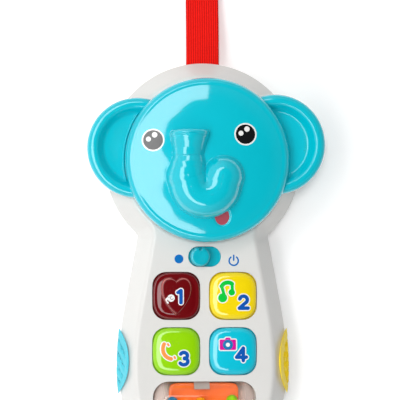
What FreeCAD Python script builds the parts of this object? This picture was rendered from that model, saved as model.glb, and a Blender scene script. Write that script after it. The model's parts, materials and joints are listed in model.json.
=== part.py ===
# Toy cell phone: a white handset with a round head, an elephant face that swings aside to
# show a mirror, four press keys, an on/off slide, a bead roller and a webbing strap.
# The phone lies on its back.  X is to its right, Y points to the head, Z comes out of the face.
# The origin is on the flat back, under the neck.  All sizes are in millimetres and degrees.

import FreeCAD
import Part
import Sketcher
import math
import os
import re

Vector = FreeCAD.Vector
Rotation = FreeCAD.Rotation
Placement = FreeCAD.Placement

document = FreeCAD.newDocument("toy_cell_phone")

# ---------------------------------------------------------------- driving dimensions

DIMENSIONS = (
    # outline of the casing
    ("head_y", 45.5, "centre of the round head"),
    ("head_radius", 47.5, "outside of the round head"),
    ("neck_radius", 3, "hollow corner between head and handset"),
    ("half_width", 40.6, "handset at its widest"),
    ("widest_y", -55, "where the handset is widest"),
    ("side_lean", 10.5, "lean of the straight part of the handset's side"),
    ("side_radius", 163, "bend of the side above the widest point"),
    ("lower_side_radius", 80, "bend of the side below the widest point"),
    ("end_radius", 40, "rounded lower end"),
    # heights of the casing
    ("wall", 2, "thickness of the moulded walls"),
    ("parting_z", 12, "joint between the two shells"),
    ("shoulder_z", 13.5, "where the front shell starts to slope in"),
    ("front_z", 25, "flat front"),
    ("bevel", 7.2, "how far the slope comes in"),
    ("crease_radius", 3, "softened edge of the flat front"),
    ("back_radius", 7, "rounded edge of the back"),
    ("back_inner_radius", 5, "the same edge, inside"),
    ("rib_thickness", 1.4, "ribs between the keys"),
    # swinging face
    ("face_y", 45.2, "centre of the face disc"),
    ("face_radius", 39.2, "face disc"),
    ("face_gap", 0.5, "air between the face and the head"),
    ("plate_thickness", 2, "back plate of the face"),
    ("face_rim_z", 32.5, "top of the straight wall of the face disc"),
    ("face_edge_z", 36, "outer edge of the dome"),
    ("face_edge_radius", 35.5, "radius of the dome's outer edge"),
    ("face_top_z", 42, "crown of the dome"),
    ("face_lean", 1.6, "how far the face is swung at rest"),
    ("ear_x", 33.1, "centre of an ear"),
    ("ear_y", 51.9, "centre of an ear"),
    ("ear_radius", 24, "outside of an ear"),
    ("ear_top_z", 32, "rim of an ear"),
    ("ear_bowl_radius", 16.2, "sunken middle of an ear"),
    ("ear_bowl_z", 28.5, "floor of the sunken middle"),
    ("ear_edge", 2.6, "rounded rim of an ear"),
    ("trunk_radius", 8.6, "trunk, half its width"),
    ("trunk_z", 40.3, "centre line of the trunk"),
    # pivot of the face
    ("pivot_y", 76.5, "axis that the face swings on"),
    ("pivot_radius", 3, "pivot pin"),
    ("pivot_clearance", 0.08, "running fit of the face on its pin"),
    ("pivot_flange_radius", 5.5, "flange of the pin, inside the head"),
    ("pivot_flange", 1.5, "thickness of that flange"),
    ("washer_radius", 5.5, "washer that keeps the face on its pin"),
    ("washer_gap", 0.3, "air under the washer"),
    ("pilot_radius", 1.25, "pilot hole of a small self-tapping screw"),
    ("bore_radius", 1.3, "hole that a small screw passes through"),
    # mirror
    ("mirror_y", 44, "centre of the mirror"),
    ("mirror_window", 24, "radius of the opening over the mirror"),
    ("mirror_radius", 25.5, "mirror disc"),
    ("mirror_thickness", 1.4, "mirror disc"),
    ("mirror_plate_radius", 26.5, "plate that holds the mirror"),
    ("mirror_plate", 1.5, "thickness of that plate"),
    ("mirror_ear", 3.4, "round ears of that plate, and where its screws go"),
    ("mirror_boss", 3, "bosses for those screws"),
    # press keys
    ("key_x", 13.6, "half the distance between the two columns of keys"),
    ("upper_key_y", -19.7, "keys 1 and 2"),
    ("lower_key_y", -46.2, "keys 3 and 4"),
    ("key_size", 22.5, "side of a key cap"),
    ("key_corner", 6.3, "corner of a key cap"),
    ("key_bow", 0.45, "how far the sides of a key cap bow outward"),
    ("key_clearance", 0.3, "air round a key cap"),
    ("key_top_z", 27.6, "crown of a key cap"),
    ("key_edge", 2.4, "rounded upper edge of a key cap"),
    ("key_flange", 24.5, "side of the flange that keeps a key in"),
    ("key_flange_low_z", 20.6, "underside of the flange"),
    ("key_flange_high_z", 22.4, "top of the flange"),
    ("key_pocket", 25.3, "side of the recess that the flange moves in"),
    ("key_pocket_z", 22.7, "ceiling of that recess"),
    ("key_stem_radius", 2.8, "stem under a key"),
    ("key_stem_z", 18.4, "lower end of the stem"),
    # on/off slide
    ("slide_y", -0.9, "centre of the slide"),
    ("slot_length", 15.8, "slot of the slide"),
    ("slot_width", 9.8, "slot of the slide"),
    ("knob_x", -1.6, "knob at rest"),
    ("knob_radius", 4.7, "knob of the slide"),
    ("knob_top_z", 28, "top of the knob"),
    ("knob_edge", 1.4, "rounded edge of the knob"),
    ("knob_plate_length", 22, "plate under the slot"),
    ("knob_plate_width", 9, "plate under the slot"),
    ("knob_plate_low_z", 21, "underside of that plate"),
    ("knob_plate_high_z", 22.7, "top of that plate"),
    # circuit board and rubber mat
    ("board_low_z", 13.6, "underside of the circuit board"),
    ("board_high_z", 15.2, "top of the circuit board"),
    ("board_width", 48, "circuit board"),
    ("board_head_end", 8, "end of the board toward the head"),
    ("board_roller_end", -56.6, "end of the board toward the roller"),
    ("board_post", 2, "posts under the board"),
    ("mat_width", 50, "rubber mat under the keys"),
    ("mat_head_end", -8, "end of the mat toward the head"),
    ("mat_z", 16.4, "top of the mat"),
    ("skirt_radius", 4.4, "rubber skirt round a key stem"),
    ("skirt_wall", 0.8, "rubber skirt"),
    ("skirt_z", 18.4, "top of the skirts"),
    # roller
    ("roller_y", -72.5, "axis of the roller"),
    ("roller_z", 17, "axis of the roller"),
    ("roller_radius", 13, "clear drum"),
    ("roller_half", 24.3, "half the length of the drum"),
    ("roller_wall", 1.3, "wall of the drum"),
    ("roller_end", 7, "rounded ends of the drum"),
    ("roller_window_half", 24.7, "opening over the drum, half its length"),
    ("roller_window_reach", 11.9, "opening over the drum, half its width"),
    ("window_corner", 7.5, "corner of that opening"),
    ("stub_radius", 2.42, "axle stubs of the drum"),
    ("stub_bore", 2.5, "bearing of a stub"),
    ("stub_length", 2.4, "axle stubs of the drum"),
    ("cradle_radius", 14.8, "outside of the trough behind the drum"),
    ("cradle_inner", 13.6, "inside of the trough"),
    ("cradle_half", 24.9, "half the inside length of the trough"),
    ("cradle_end", 2.6, "end walls of the trough"),
    ("paddle_width", 33.5, "coloured plate inside the drum"),
    ("paddle_reach", 10.9, "half the other side of that plate"),
    ("paddle_half", 0.8, "half its thickness"),
    ("spindle_radius", 0.8, "rod through the drum"),
    ("bead_radius", 2.9, "loose beads"),
    # battery bay
    ("cell_x", 5.7, "half the distance between the two cells"),
    ("cell_z", 7.6, "axis of a cell"),
    ("cell_radius", 5.2, "AAA cell"),
    ("cell_can", 43.3, "AAA cell without its nub"),
    ("nub_radius", 1.9, "nub of a cell"),
    ("nub_length", 1.2, "nub of a cell"),
    ("bay_half", 11.6, "half the inside width of the battery bay"),
    ("bay_wall", 3.4, "side walls of the bay"),
    ("bay_roller_end", -52, "inner end of the bay toward the roller"),
    ("bay_head_end", -1, "inner end of the bay toward the head"),
    ("bay_end_wall", 5, "end walls of the bay"),
    ("door_half", 13.2, "half the width of the battery door"),
    ("door_overlap", 4.4, "how far the door lies on the end walls"),
    ("door_thickness", 1.9, "battery door"),
    ("door_gap", 0.25, "air round the battery door"),
    # speaker
    ("speaker_y", 44, "centre of the speaker"),
    ("speaker_radius", 18, "flange of the speaker"),
    ("speaker_z", 5, "underside of the flange"),
    ("speaker_flange", 1.2, "thickness of the flange"),
    ("speaker_post", 2.4, "posts for the speaker's screws"),
    ("basket_height", 4.4, "height of the basket over the flange"),
    ("basket_foot", 14.5, "basket where it leaves the flange"),
    ("basket_neck", 9.2, "basket at the magnet"),
    ("basket_wall", 1, "wall of the basket"),
    ("magnet_radius", 8.8, "magnet of the speaker"),
    ("magnet_height", 3.4, "magnet of the speaker"),
    ("grille_hole", 1.1, "sound holes in the back"),
    # strap
    ("strap_width", 16, "webbing"),
    ("strap_thickness", 1.2, "webbing"),
    ("strap_z", 9.2, "webbing where it leaves the head"),
    ("bar_y", 87, "bar that the webbing is sewn round"),
    ("bar_radius", 1.5, "that bar"),
    ("snap_radius", 6.2, "press stud on the webbing"),
    ("snap_flange", 1.4, "flange of a press stud"),
    # grips
    ("grip_radius", 29, "inner edge of a grip"),
    ("grip_y", -50.9, "centre of a grip"),
    ("grip_inner_x", 36.1, "innermost point of a grip"),
    ("grip_proud", 1.3, "how far a grip stands out of the casing"),
    ("grip_low_z", 12.6, "lower edge of a grip"),
    # screws
    ("screw_radius", 1.35, "case screw"),
    ("screw_hole", 1.4, "hole for a case screw"),
    ("screw_head", 2.8, "head of a case screw"),
    ("screw_head_height", 2, "head of a case screw"),
    ("screw_head_z", 6, "underside of a case screw's head"),
    ("screw_well", 3.2, "well that the head sits in"),
    ("screw_top_z", 20, "end of a case screw"),
    ("boss_radius", 3.6, "screw boss in the front shell"),
    ("rear_boss_radius", 4.6, "screw boss in the rear shell"),
)
ALIASES = {alias for alias, number, note in DIMENSIONS}

sheet = document.addObject("Spreadsheet::Sheet", "sizes")
for row, (alias, number, note) in enumerate(DIMENSIONS, start=1):
    sheet.set(f"A{row}", alias)
    sheet.set(f"B{row}", str(number))
    sheet.set(f"C{row}", note)
    sheet.setAlias(f"B{row}", alias)
document.recompute()

CASE_SCREWS = ((-26, 66), (26, 66), (-19, 3.4), (19, 3.4), (-30.5, -61), (30.5, -61))
KEYS = (
    ("button_1", "-key_x", "upper_key_y"),
    ("button_2", "key_x", "upper_key_y"),
    ("button_3", "-key_x", "lower_key_y"),
    ("button_4", "key_x", "lower_key_y"),
)
THROUGH = 9   # length of a cutting tool that passes right through a wall
CREASE_STEPS = 5
BOARD_POSTS = ((-20, -8), (20, -8), (-20, -50), (20, -50))
LAMP = ("-key_x + 6.8", "upper_key_y + 6.4")
MIRROR_SCREW_RING = 29.2
FACE_SCREW_RING = 28
SPEAKER_SCREW_RING = 20.6
SPRING_SHIFT = 1.3
BEADS = (
    # name, place along the roller, place across it and height over its axis
    ("bead_blue", -15.2, 1.6, 3.75),
    ("bead_yellow", -1.7, 1.3, 3.75),
    ("bead_green", 13.4, 2.4, 3.75),
    ("bead_red", -9, 0, -8.6),
    ("bead_purple", 1.5, 0, -8.6),
    ("bead_white", 11, 0, -8.6),
)
ARC_REACH = 0.45
STRAP_ROUTE = ((89.9, 9.2), (108, 9.2), (143, 0.63), (201, 0.61), (240, 0.63))
SNAPS = (("snap_socket", 196), ("snap_stud", 231))
WIRE_ROUTE = ((4, 8, 14.4), (4, 12.5, 14.4), (7, 18.5, 11), (9, 24.5, 7.4), (9, 28.2, 7.4))
WIRE_RADIUS = 0.5
SCREW_ANGLES = (30, 150, 270)

nodes = {}


def size(alias):
    """Read one driving dimension."""
    return float(getattr(sheet, alias))


def linked(formula):
    """Turn the aliases in a formula into references to the sheet."""
    return re.sub(r"[a-z][a-z_]+", lambda word: "sizes." + word.group()
                  if word.group() in ALIASES else word.group(), str(formula))


def bind(thing, name, formula):
    """Let a property follow the sheet."""
    thing.setExpression(name, linked(formula))


def put(thing, x=0, y=0, z=0, turn=None):
    """Place an object at a point given by formulas."""
    thing.Placement = Placement(Vector(0, 0, 0), turn or Rotation())
    for letter, formula in zip("xyz", (x, y, z)):
        bind(thing, f"Placement.Base.{letter}", formula)
    return thing


def keep(name, thing):
    """Register an object as a finished sub-part."""
    thing.Label = name
    nodes[name] = thing
    return thing


# ---------------------------------------------------------------- plain solids

ALONG = {
    "x": Rotation(Vector(0, 1, 0), 90),
    "y": Rotation(Vector(1, 0, 0), -90),
    "z": Rotation(),
}


def cylinder(name, radius, height, x=0, y=0, z=0, along="z"):
    """A round bar that starts at the given point."""
    thing = document.addObject("Part::Cylinder", name)
    bind(thing, "Radius", radius)
    bind(thing, "Height", height)
    return put(thing, x, y, z, ALONG[along])


def cone(name, low_radius, high_radius, height, x=0, y=0, z=0):
    """A tapered round piece that stands on the given point."""
    thing = document.addObject("Part::Cone", name)
    bind(thing, "Radius1", low_radius)
    bind(thing, "Radius2", high_radius)
    bind(thing, "Height", height)
    return put(thing, x, y, z)


def box(name, width, depth, height, x=0, y=0, z=0):
    """A block centred on x and y that stands on z."""
    thing = document.addObject("Part::Box", name)
    bind(thing, "Length", width)
    bind(thing, "Width", depth)
    bind(thing, "Height", height)
    return put(thing, f"{x} - ({width}) / 2", f"{y} - ({depth}) / 2", z)


def sphere(name, radius, x=0, y=0, z=0):
    """A ball round the given point."""
    thing = document.addObject("Part::Sphere", name)
    bind(thing, "Radius", radius)
    return put(thing, x, y, z)


def fuse(name, things):
    """Join several solids."""
    thing = document.addObject("Part::MultiFuse", name)
    thing.Shapes = things
    return thing


def cut(name, base, tools):
    """Take several solids away from one."""
    thing = document.addObject("Part::Cut", name)
    thing.Base = base
    thing.Tool = tools[0] if len(tools) == 1 else fuse(name + "_tools", tools)
    return thing


def common(name, first, second):
    """Keep what two solids share."""
    thing = document.addObject("Part::Common", name)
    thing.Base = first
    thing.Tool = second
    return thing


def group(name, things):
    """Keep several separate solids as one object."""
    thing = document.addObject("Part::Compound", name)
    thing.Links = things
    return thing


# ---------------------------------------------------------------- sketched solids

def new_body(name, x=0, y=0, z=0):
    """A PartDesign body at the given point."""
    return put(document.addObject("PartDesign::Body", name), x, y, z)


def new_sketch(body, name, plane="XY_Plane", lift=0):
    """A sketch on one of the body's own planes, lifted off it."""
    sketch = body.newObject("Sketcher::SketchObject", name)
    support = [item for item in body.Origin.OriginFeatures if item.Role == plane][0]
    sketch.AttachmentSupport = [(support, "")]
    sketch.MapMode = "FlatFace"
    bind(sketch, "AttachmentOffset.Base.z", lift)
    return sketch


def draw_rectangle(sketch, width, depth):
    """A rectangle centred on the sketch's origin."""
    corners = [Vector(-1, -1, 0), Vector(1, -1, 0), Vector(1, 1, 0), Vector(-1, 1, 0)]
    for start, end in zip(corners, corners[1:] + corners[:1]):
        sketch.addGeometry(Part.LineSegment(start, end), False)
    for side in range(4):
        sketch.addConstraint(Sketcher.Constraint("Coincident", side, 2, (side + 1) % 4, 1))
    for side, direction in enumerate(("Horizontal", "Vertical", "Horizontal", "Vertical")):
        sketch.addConstraint(Sketcher.Constraint(direction, side))
    sketch.addConstraint(Sketcher.Constraint("Symmetric", 0, 1, 2, 1, -1, 1))
    across = sketch.addConstraint(Sketcher.Constraint("DistanceX", 0, 1, 0, 2, 2.0))
    upward = sketch.addConstraint(Sketcher.Constraint("DistanceY", 1, 1, 1, 2, 2.0))
    bind(sketch, f"Constraints[{across}]", width)
    bind(sketch, f"Constraints[{upward}]", depth)


def draw_bowed_square(sketch, across, bow):
    """A square centred on the sketch's origin whose four sides bow outward."""
    corner = size("key_size") / 2 - size("key_bow")
    middle = size("key_size") / 2
    for quarter in range(4):
        turn = Rotation(Vector(0, 0, 1), 90 * quarter)
        points = (Vector(-corner, -corner, 0), Vector(0, -middle, 0), Vector(corner, -corner, 0))
        sketch.addGeometry(Part.Arc(*[turn.multVec(point) for point in points]), False)
    for side in range(4):
        sketch.addConstraint(Sketcher.Constraint("Coincident", side, 2, (side + 1) % 4, 1))
        if side:
            sketch.addConstraint(Sketcher.Constraint("Equal", 0, side))
    sketch.addConstraint(Sketcher.Constraint("Symmetric", 0, 1, 2, 1, -1, 1))
    sketch.addConstraint(Sketcher.Constraint("Symmetric", 1, 1, 3, 1, -1, 1))
    radius = sketch.addConstraint(Sketcher.Constraint("Radius", 0, (corner ** 2 + size("key_bow") ** 2)
                                                      / (2 * size("key_bow"))))
    half = f"(({across}) / 2 - {bow})"
    bind(sketch, f"Constraints[{radius}]", f"({half} * {half} + {bow} * {bow}) / (2 * {bow})")
    for way, start, end in (("DistanceX", 0, 1), ("DistanceY", 1, 2)):
        reach = sketch.addConstraint(Sketcher.Constraint(way, start, 1, end, 1, 2 * corner))
        bind(sketch, f"Constraints[{reach}]", f"2 * {half}")
    sketch.addConstraint(Sketcher.Constraint("Horizontal", 0, 1, 0, 2))


def pad(body, sketch, name, length):
    """Raise a sketch into a solid."""
    feature = body.newObject("PartDesign::Pad", name)
    feature.Profile = sketch
    bind(feature, "Length", length)
    return feature


def edge_names(feature, wanted):
    """Names of the edges of a feature that pass a test."""
    return [f"Edge{index}" for index, edge in enumerate(feature.Shape.Edges, start=1) if wanted(edge)]


def stands_up(edge):
    """Whether an edge runs along Z."""
    bounds = edge.BoundBox
    return bounds.ZLength > 10 * max(bounds.XLength, bounds.YLength, 0.01)


def lies_at(height):
    """A test for edges that lie level at a height in the body."""
    return lambda edge: max(abs(edge.BoundBox.ZMin - height), abs(edge.BoundBox.ZMax - height)) < 0.01


def round_off(body, feature, name, radius, wanted):
    """Round the chosen edges of a body's last feature."""
    document.recompute()
    fillet = body.newObject("PartDesign::Fillet", name)
    fillet.Base = (feature, edge_names(feature, wanted))
    bind(fillet, "Radius", radius)
    return fillet


def rounded_block(name, width, depth, height, corner, x=0, y=0, z=0, edge=None, bow=None):
    """A block with round corners in plan and, if asked for, bowed sides and a rounded upper edge."""
    body = new_body(name, x, y, z)
    sketch = new_sketch(body, name + "_plan")
    if bow:
        draw_bowed_square(sketch, width, bow)
    else:
        draw_rectangle(sketch, width, depth)
    raised = pad(body, sketch, name + "_pad", height)
    rounded = round_off(body, raised, name + "_corners", corner, stands_up)
    if edge:
        document.recompute()
        top = raised.Shape.BoundBox.ZMax
        rounded = round_off(body, rounded, name + "_edge", edge, lies_at(top))
    return body


# ---------------------------------------------------------------- outline of the casing

def polar(centre, radius, angle):
    """The point at an angle in degrees and a radius from a centre."""
    turn = math.radians(angle)
    return Vector(centre.x + radius * math.cos(turn), centre.y + radius * math.sin(turn), 0)


def arc(centre, radius, start, end):
    """A level arc, counter-clockwise from one angle in degrees to another."""
    circle = Part.Circle(centre, Vector(0, 0, 1), radius)
    return Part.ArcOfCircle(circle, math.radians(start), math.radians(end))


def neck_centre(head, tangent_point, lean):
    """Centre of the hollow corner that touches the head and the straight side."""
    turn = math.radians(lean)
    outward = Vector(math.cos(turn), math.sin(turn), 0)
    upward = Vector(-math.sin(turn), math.cos(turn), 0)
    start = tangent_point + outward * size("neck_radius") - head
    reach = size("head_radius") + size("neck_radius")
    along = start.dot(upward)
    climb = -along - math.sqrt(along ** 2 - start.dot(start) + reach ** 2)
    return start + head + upward * climb


def outline(inset):
    """The casing's outline, moved inward by a distance."""
    head = Vector(0, size("head_y"), 0)
    lean = size("side_lean")
    side = Vector(size("half_width") - size("side_radius"), size("widest_y"), 0)
    lower = Vector(size("half_width") - size("lower_side_radius"), size("widest_y"), 0)
    arm = size("lower_side_radius") - size("end_radius")
    turn = math.degrees(math.acos(-lower.x / arm))
    end = Vector(0, lower.y - arm * math.sin(math.radians(turn)), 0)
    neck = neck_centre(head, polar(side, size("side_radius"), lean), lean)
    to_head = math.degrees(math.atan2(head.y - neck.y, head.x - neck.x))
    neck_radius = size("neck_radius") + inset
    line_start = polar(neck, neck_radius, lean + 180)
    line_end = polar(side, size("side_radius") - inset, lean)
    curves = [arc(head, size("head_radius") - inset, to_head - 180, 360 - to_head)]
    curves.append(arc(end, size("end_radius") - inset, turn - 180, -turn))
    for flip in (False, True):
        for centre, radius, first, last in (
            (neck, neck_radius, to_head, lean + 180),
            (side, size("side_radius") - inset, 0, lean),
            (lower, size("lower_side_radius") - inset, -turn, 0),
        ):
            if flip:
                centre = Vector(-centre.x, centre.y, 0)
                first, last = 180 - last, 180 - first
            curves.append(arc(centre, radius, first, last))
        across = -1 if flip else 1
        start = Vector(across * line_start.x, line_start.y, 0)
        curves.append(Part.LineSegment(start, Vector(across * line_end.x, line_end.y, 0)))
    return curves


def outline_sketch(body, name, inset, lift):
    """A sketch of the outline at a height."""
    sketch = new_sketch(body, name, lift=lift)
    sketch.addGeometry(outline(inset), False)
    return sketch


def crease_steps():
    """Inset past the slope and drop below the front, along the softened edge."""
    radius = size("crease_radius")
    slope = math.atan2(size("front_z") - size("shoulder_z"), size("bevel"))
    reach = radius * math.tan(slope / 2)
    turns = [slope * step / CREASE_STEPS for step in range(CREASE_STEPS, -1, -1)]
    return [(reach - radius * math.sin(turn), radius * (1 - math.cos(turn))) for turn in turns]


def front_blank(name, inset, top, softened=False):
    """The solid shape of the front shell, moved inward by a distance."""
    body = new_body(name)
    sections = [
        outline_sketch(body, name + "_low", inset, "parting_z"),
        outline_sketch(body, name + "_middle", inset, "shoulder_z"),
    ]
    for step, (reach, drop) in enumerate(crease_steps() if softened else [(0, 0)]):
        level = outline_sketch(body, f"{name}_high_{step}", inset + size("bevel") + reach, f"{top} - {drop}")
        sections.append(level)
    loft = body.newObject("PartDesign::AdditiveLoft", name + "_loft")
    loft.Profile = sections[0]
    loft.Sections = sections[1:]
    loft.Ruled = True
    return body


def rear_blank(name, inset, low, radius):
    """The solid shape of the rear shell, moved inward by a distance."""
    body = new_body(name)
    sketch = outline_sketch(body, name + "_plan", inset, low)
    raised = pad(body, sketch, name + "_pad", f"parting_z - ({low})")
    document.recompute()
    level = raised.Shape.BoundBox.ZMin
    round_off(body, raised, name + "_edge", radius, lies_at(level))
    return body


# ---------------------------------------------------------------- casing

def screw_posts(name, radius, low, high):
    """One round post at each case screw."""
    posts = []
    for number, (x, y) in enumerate(CASE_SCREWS, start=1):
        posts.append(cylinder(f"{name}_{number}", radius, f"{high} - ({low})", x, y, low))
    return posts


def ring_points(radius, middle):
    """The three screw places on a ring round a point of the centre line."""
    centre = Vector(0, middle, 0)
    return [polar(centre, radius, angle) for angle in SCREW_ANGLES]


def build_front_shell():
    """White front shell with its openings, bosses and clamping ribs."""
    outer = front_blank("front_outer", 0, "front_z", softened=True)
    inner = front_blank("front_inner", size("wall"), "front_z - wall")
    middle = front_blank("front_middle", size("wall") / 2, "front_z - wall / 2")
    hollow = cut("front_hollow", outer, [inner])
    ribs = screw_posts("front_boss", "boss_radius", "parting_z", "front_z")
    ribs.append(box("front_rib_along", "rib_thickness", 50, "front_z - mat_z", 0, -33.3, "mat_z"))
    ribs.append(box("front_rib_across", 48, "rib_thickness", "front_z - mat_z", 0, -33.3, "mat_z"))
    for number, point in enumerate(ring_points(MIRROR_SCREW_RING, size("mirror_y")), start=1):
        low = "front_z - wall - mirror_thickness"
        ribs.append(cylinder(f"front_mirror_boss_{number}", "mirror_boss", "wall + mirror_thickness",
                             point.x, point.y, low))
    ribbed = fuse("front_ribbed", [hollow, common("front_ribs", fuse("front_rib_set", ribs), middle)])
    holes = screw_posts("front_screw_hole", "screw_hole", "parting_z - 1", "screw_top_z + 0.5")
    holes.append(cylinder("front_mirror_hole", "mirror_window", THROUGH, 0, "mirror_y", "front_z - wall - 4"))
    holes.append(cylinder("front_pivot_hole", "pivot_radius + 0.02", THROUGH,
                          0, "pivot_y", "front_z - wall - 4"))
    holes.append(rounded_block("front_slot", "slot_length", "slot_width", THROUGH, "slot_width / 2 - 0.01",
                               0, "slide_y", "front_z - wall - 4"))
    holes.append(rounded_block("front_window", "2 * roller_window_half", "2 * roller_window_reach", 20,
                               "window_corner", 0, "roller_y", "front_z - wall - 6"))
    for number, point in enumerate(ring_points(MIRROR_SCREW_RING, size("mirror_y")), start=1):
        holes.append(cylinder(f"front_mirror_pilot_{number}", "pilot_radius", 5,
                              point.x, point.y, "front_z - 6"))
    for name, x, y in KEYS:
        holes.append(rounded_block(f"front_{name}_hole", "key_size + 2 * key_clearance",
                                   "key_size + 2 * key_clearance", "wall + 7", "key_corner + key_clearance",
                                   x, y, "front_z - wall - 4", bow="key_bow"))
        holes.append(rounded_block(f"front_{name}_recess", "key_pocket", "key_pocket", "key_pocket_z - 17",
                                   2, x, y, 17))
    keep("front_shell", cut("front_shell", ribbed, holes))


def build_rear_shell():
    """White rear shell with the battery bay, speaker grille, strap slot and posts."""
    outer = rear_blank("rear_outer", 0, "0", "back_radius")
    inner = rear_blank("rear_inner", size("wall"), "wall", "back_inner_radius")
    middle = rear_blank("rear_middle", size("wall") / 2, "wall / 2", "back_inner_radius + wall / 2")
    hollow = cut("rear_hollow", outer, [inner])
    bay_length = size("bay_head_end") - size("bay_roller_end")
    bay_y = (size("bay_head_end") + size("bay_roller_end")) / 2
    ribs = screw_posts("rear_boss", "rear_boss_radius", "1", "parting_z")
    ribs.append(box("rear_bay_block", "2 * (bay_half + bay_wall)", f"{bay_length} + 2 * bay_end_wall",
                    "parting_z - 1", 0, bay_y, 1))
    for number, (x, y) in enumerate(BOARD_POSTS, start=1):
        ribs.append(cylinder(f"rear_board_post_{number}", "board_post", "board_low_z - 1", x, y, 1))
    for number, point in enumerate(ring_points(SPEAKER_SCREW_RING, size("speaker_y")), start=1):
        ribs.append(cylinder(f"rear_speaker_post_{number}", "speaker_post", "speaker_z + speaker_flange - 1",
                             point.x, point.y, 1))
    seat = cylinder("rear_speaker_seat", "speaker_radius", "speaker_z - 1", 0, "speaker_y", 1)
    bowl = cylinder("rear_speaker_bowl", "speaker_radius - 1.8", "speaker_z", 0, "speaker_y", 1)
    ribs.append(cut("rear_speaker_ring", seat, [bowl]))
    bar_ribs = [box(f"rear_bar_rib_{number}", 2.5, 6, "parting_z - 1", x, "bar_y", 1)
                for number, x in enumerate((-10.4, 10.4), start=1)]
    ribs.append(common("rear_bar_ribs", fuse("rear_bar_rib_pair", bar_ribs), middle))
    shell = fuse("rear_ribbed", [hollow, fuse("rear_ribs", ribs)])
    holes = screw_posts("rear_screw_hole", "screw_hole + 0.15", "-1", "parting_z + 1")
    holes += screw_posts("rear_screw_well", "screw_well", "-1", "screw_head_z")
    holes.append(box("rear_bay", "2 * bay_half", f"{bay_length}", 30, 0, bay_y, -1))
    holes.append(box("rear_door_seat", "2 * (door_half + door_gap)",
                     f"{bay_length} + 2 * (door_overlap + door_gap)", "wall + 1", 0, bay_y, -1))
    for number, y in enumerate(door_screw_places(), start=1):
        holes.append(cylinder(f"rear_door_pilot_{number}", "pilot_radius", THROUGH, 0, y, 1))
    for number, point in enumerate(ring_points(SPEAKER_SCREW_RING, size("speaker_y")), start=1):
        holes.append(cylinder(f"rear_speaker_pilot_{number}", 1.05, 6, point.x, point.y, 2.3))
    for number, (x, y) in enumerate(grille_places(), start=1):
        holes.append(cylinder(f"rear_grille_{number}", "grille_hole", THROUGH, x, y, -1))
    holes.append(cylinder("rear_bar_hole", "bar_radius", 26, -13, "bar_y", "strap_z", "x"))
    holes.append(box("rear_strap_slot", "strap_width + 1.2", 14, 2.6, 0, 96, "strap_z - 1.3"))
    keep("rear_shell", cut("rear_shell_whole", shell, holes))


def door_screw_places():
    """Where the two screws of the battery door go along Y."""
    overlap = size("door_overlap") / 2
    return size("bay_roller_end") - overlap, size("bay_head_end") + overlap


def grille_places():
    """Sound holes: one in the middle and two rings round it."""
    places = [(0, size("speaker_y"))]
    for ring, count in ((5, 6), (10, 12)):
        for number in range(count):
            turn = 2 * math.pi * number / count
            places.append((ring * math.cos(turn), size("speaker_y") + ring * math.sin(turn)))
    return places


def build_case_screws():
    """Six self-tapping screws, put in from the back."""
    heads = screw_posts("case_screw_head", "screw_head", "screw_head_z - screw_head_height", "screw_head_z")
    shanks = screw_posts("case_screw_shank", "screw_radius", "screw_head_z", "screw_top_z")
    slots = []
    for number, (x, y) in enumerate(CASE_SCREWS, start=1):
        for turn, (width, depth) in enumerate(((3.6, 0.8), (0.8, 3.6))):
            slots.append(box(f"case_screw_cross_{number}_{turn}", width, depth, 1, x, y,
                             "screw_head_z - screw_head_height - 0.01"))
    solids = [fuse(f"case_screw_{number}", [head, shank])
              for number, (head, shank) in enumerate(zip(heads, shanks), start=1)]
    crossed = []
    for number, solid in enumerate(solids, start=1):
        crossed.append(cut(f"case_screw_cut_{number}", solid, slots[2 * number - 2:2 * number]))
    keep("case_screws", group("case_screws", crossed))


def build_grips():
    """Soft side grips, a skin over the slope of the front shell."""
    skin = front_blank("grip_skin", -size("grip_proud"), "front_z + grip_proud")
    under = front_blank("grip_under", 0, "front_z")
    for name, side in (("left_grip", -1), ("right_grip", 1)):
        lens = cylinder(name + "_lens", "grip_radius", 9.6, f"{side} * (grip_inner_x + grip_radius)",
                        "grip_y", "grip_low_z")
        keep(name, cut(name, common(name + "_slab", skin, lens), [under]))


# ---------------------------------------------------------------- mirror and pivot

def build_mirror():
    """Mirror disc behind the head's opening, its plate and three screws."""
    top = "front_z - wall"
    keep("mirror", cylinder("mirror", "mirror_radius", "mirror_thickness", 0, "mirror_y",
                            f"{top} - mirror_thickness"))
    low = f"{top} - mirror_thickness - mirror_plate"
    plate = [cylinder("mirror_plate_disc", "mirror_plate_radius", "mirror_plate", 0, "mirror_y", low)]
    heads = []
    bores = []
    for number, point in enumerate(ring_points(MIRROR_SCREW_RING, size("mirror_y")), start=1):
        plate.append(cylinder(f"mirror_ear_{number}", "mirror_ear", "mirror_plate", point.x, point.y, low))
        bores.append(cylinder(f"mirror_bore_{number}", "bore_radius", THROUGH,
                              point.x, point.y, f"{low} - 1"))
        shank = cylinder(f"mirror_shank_{number}", 1.15, 3.8, point.x, point.y, low)
        head = cylinder(f"mirror_head_{number}", 2.3, 1.4, point.x, point.y, f"{low} - 1.4")
        heads.append(fuse(f"mirror_screw_{number}", [shank, head]))
    keep("mirror_plate", cut("mirror_plate_bored", fuse("mirror_plate_blank", plate), bores))
    keep("mirror_screws", group("mirror_screw_set", heads))


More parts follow.
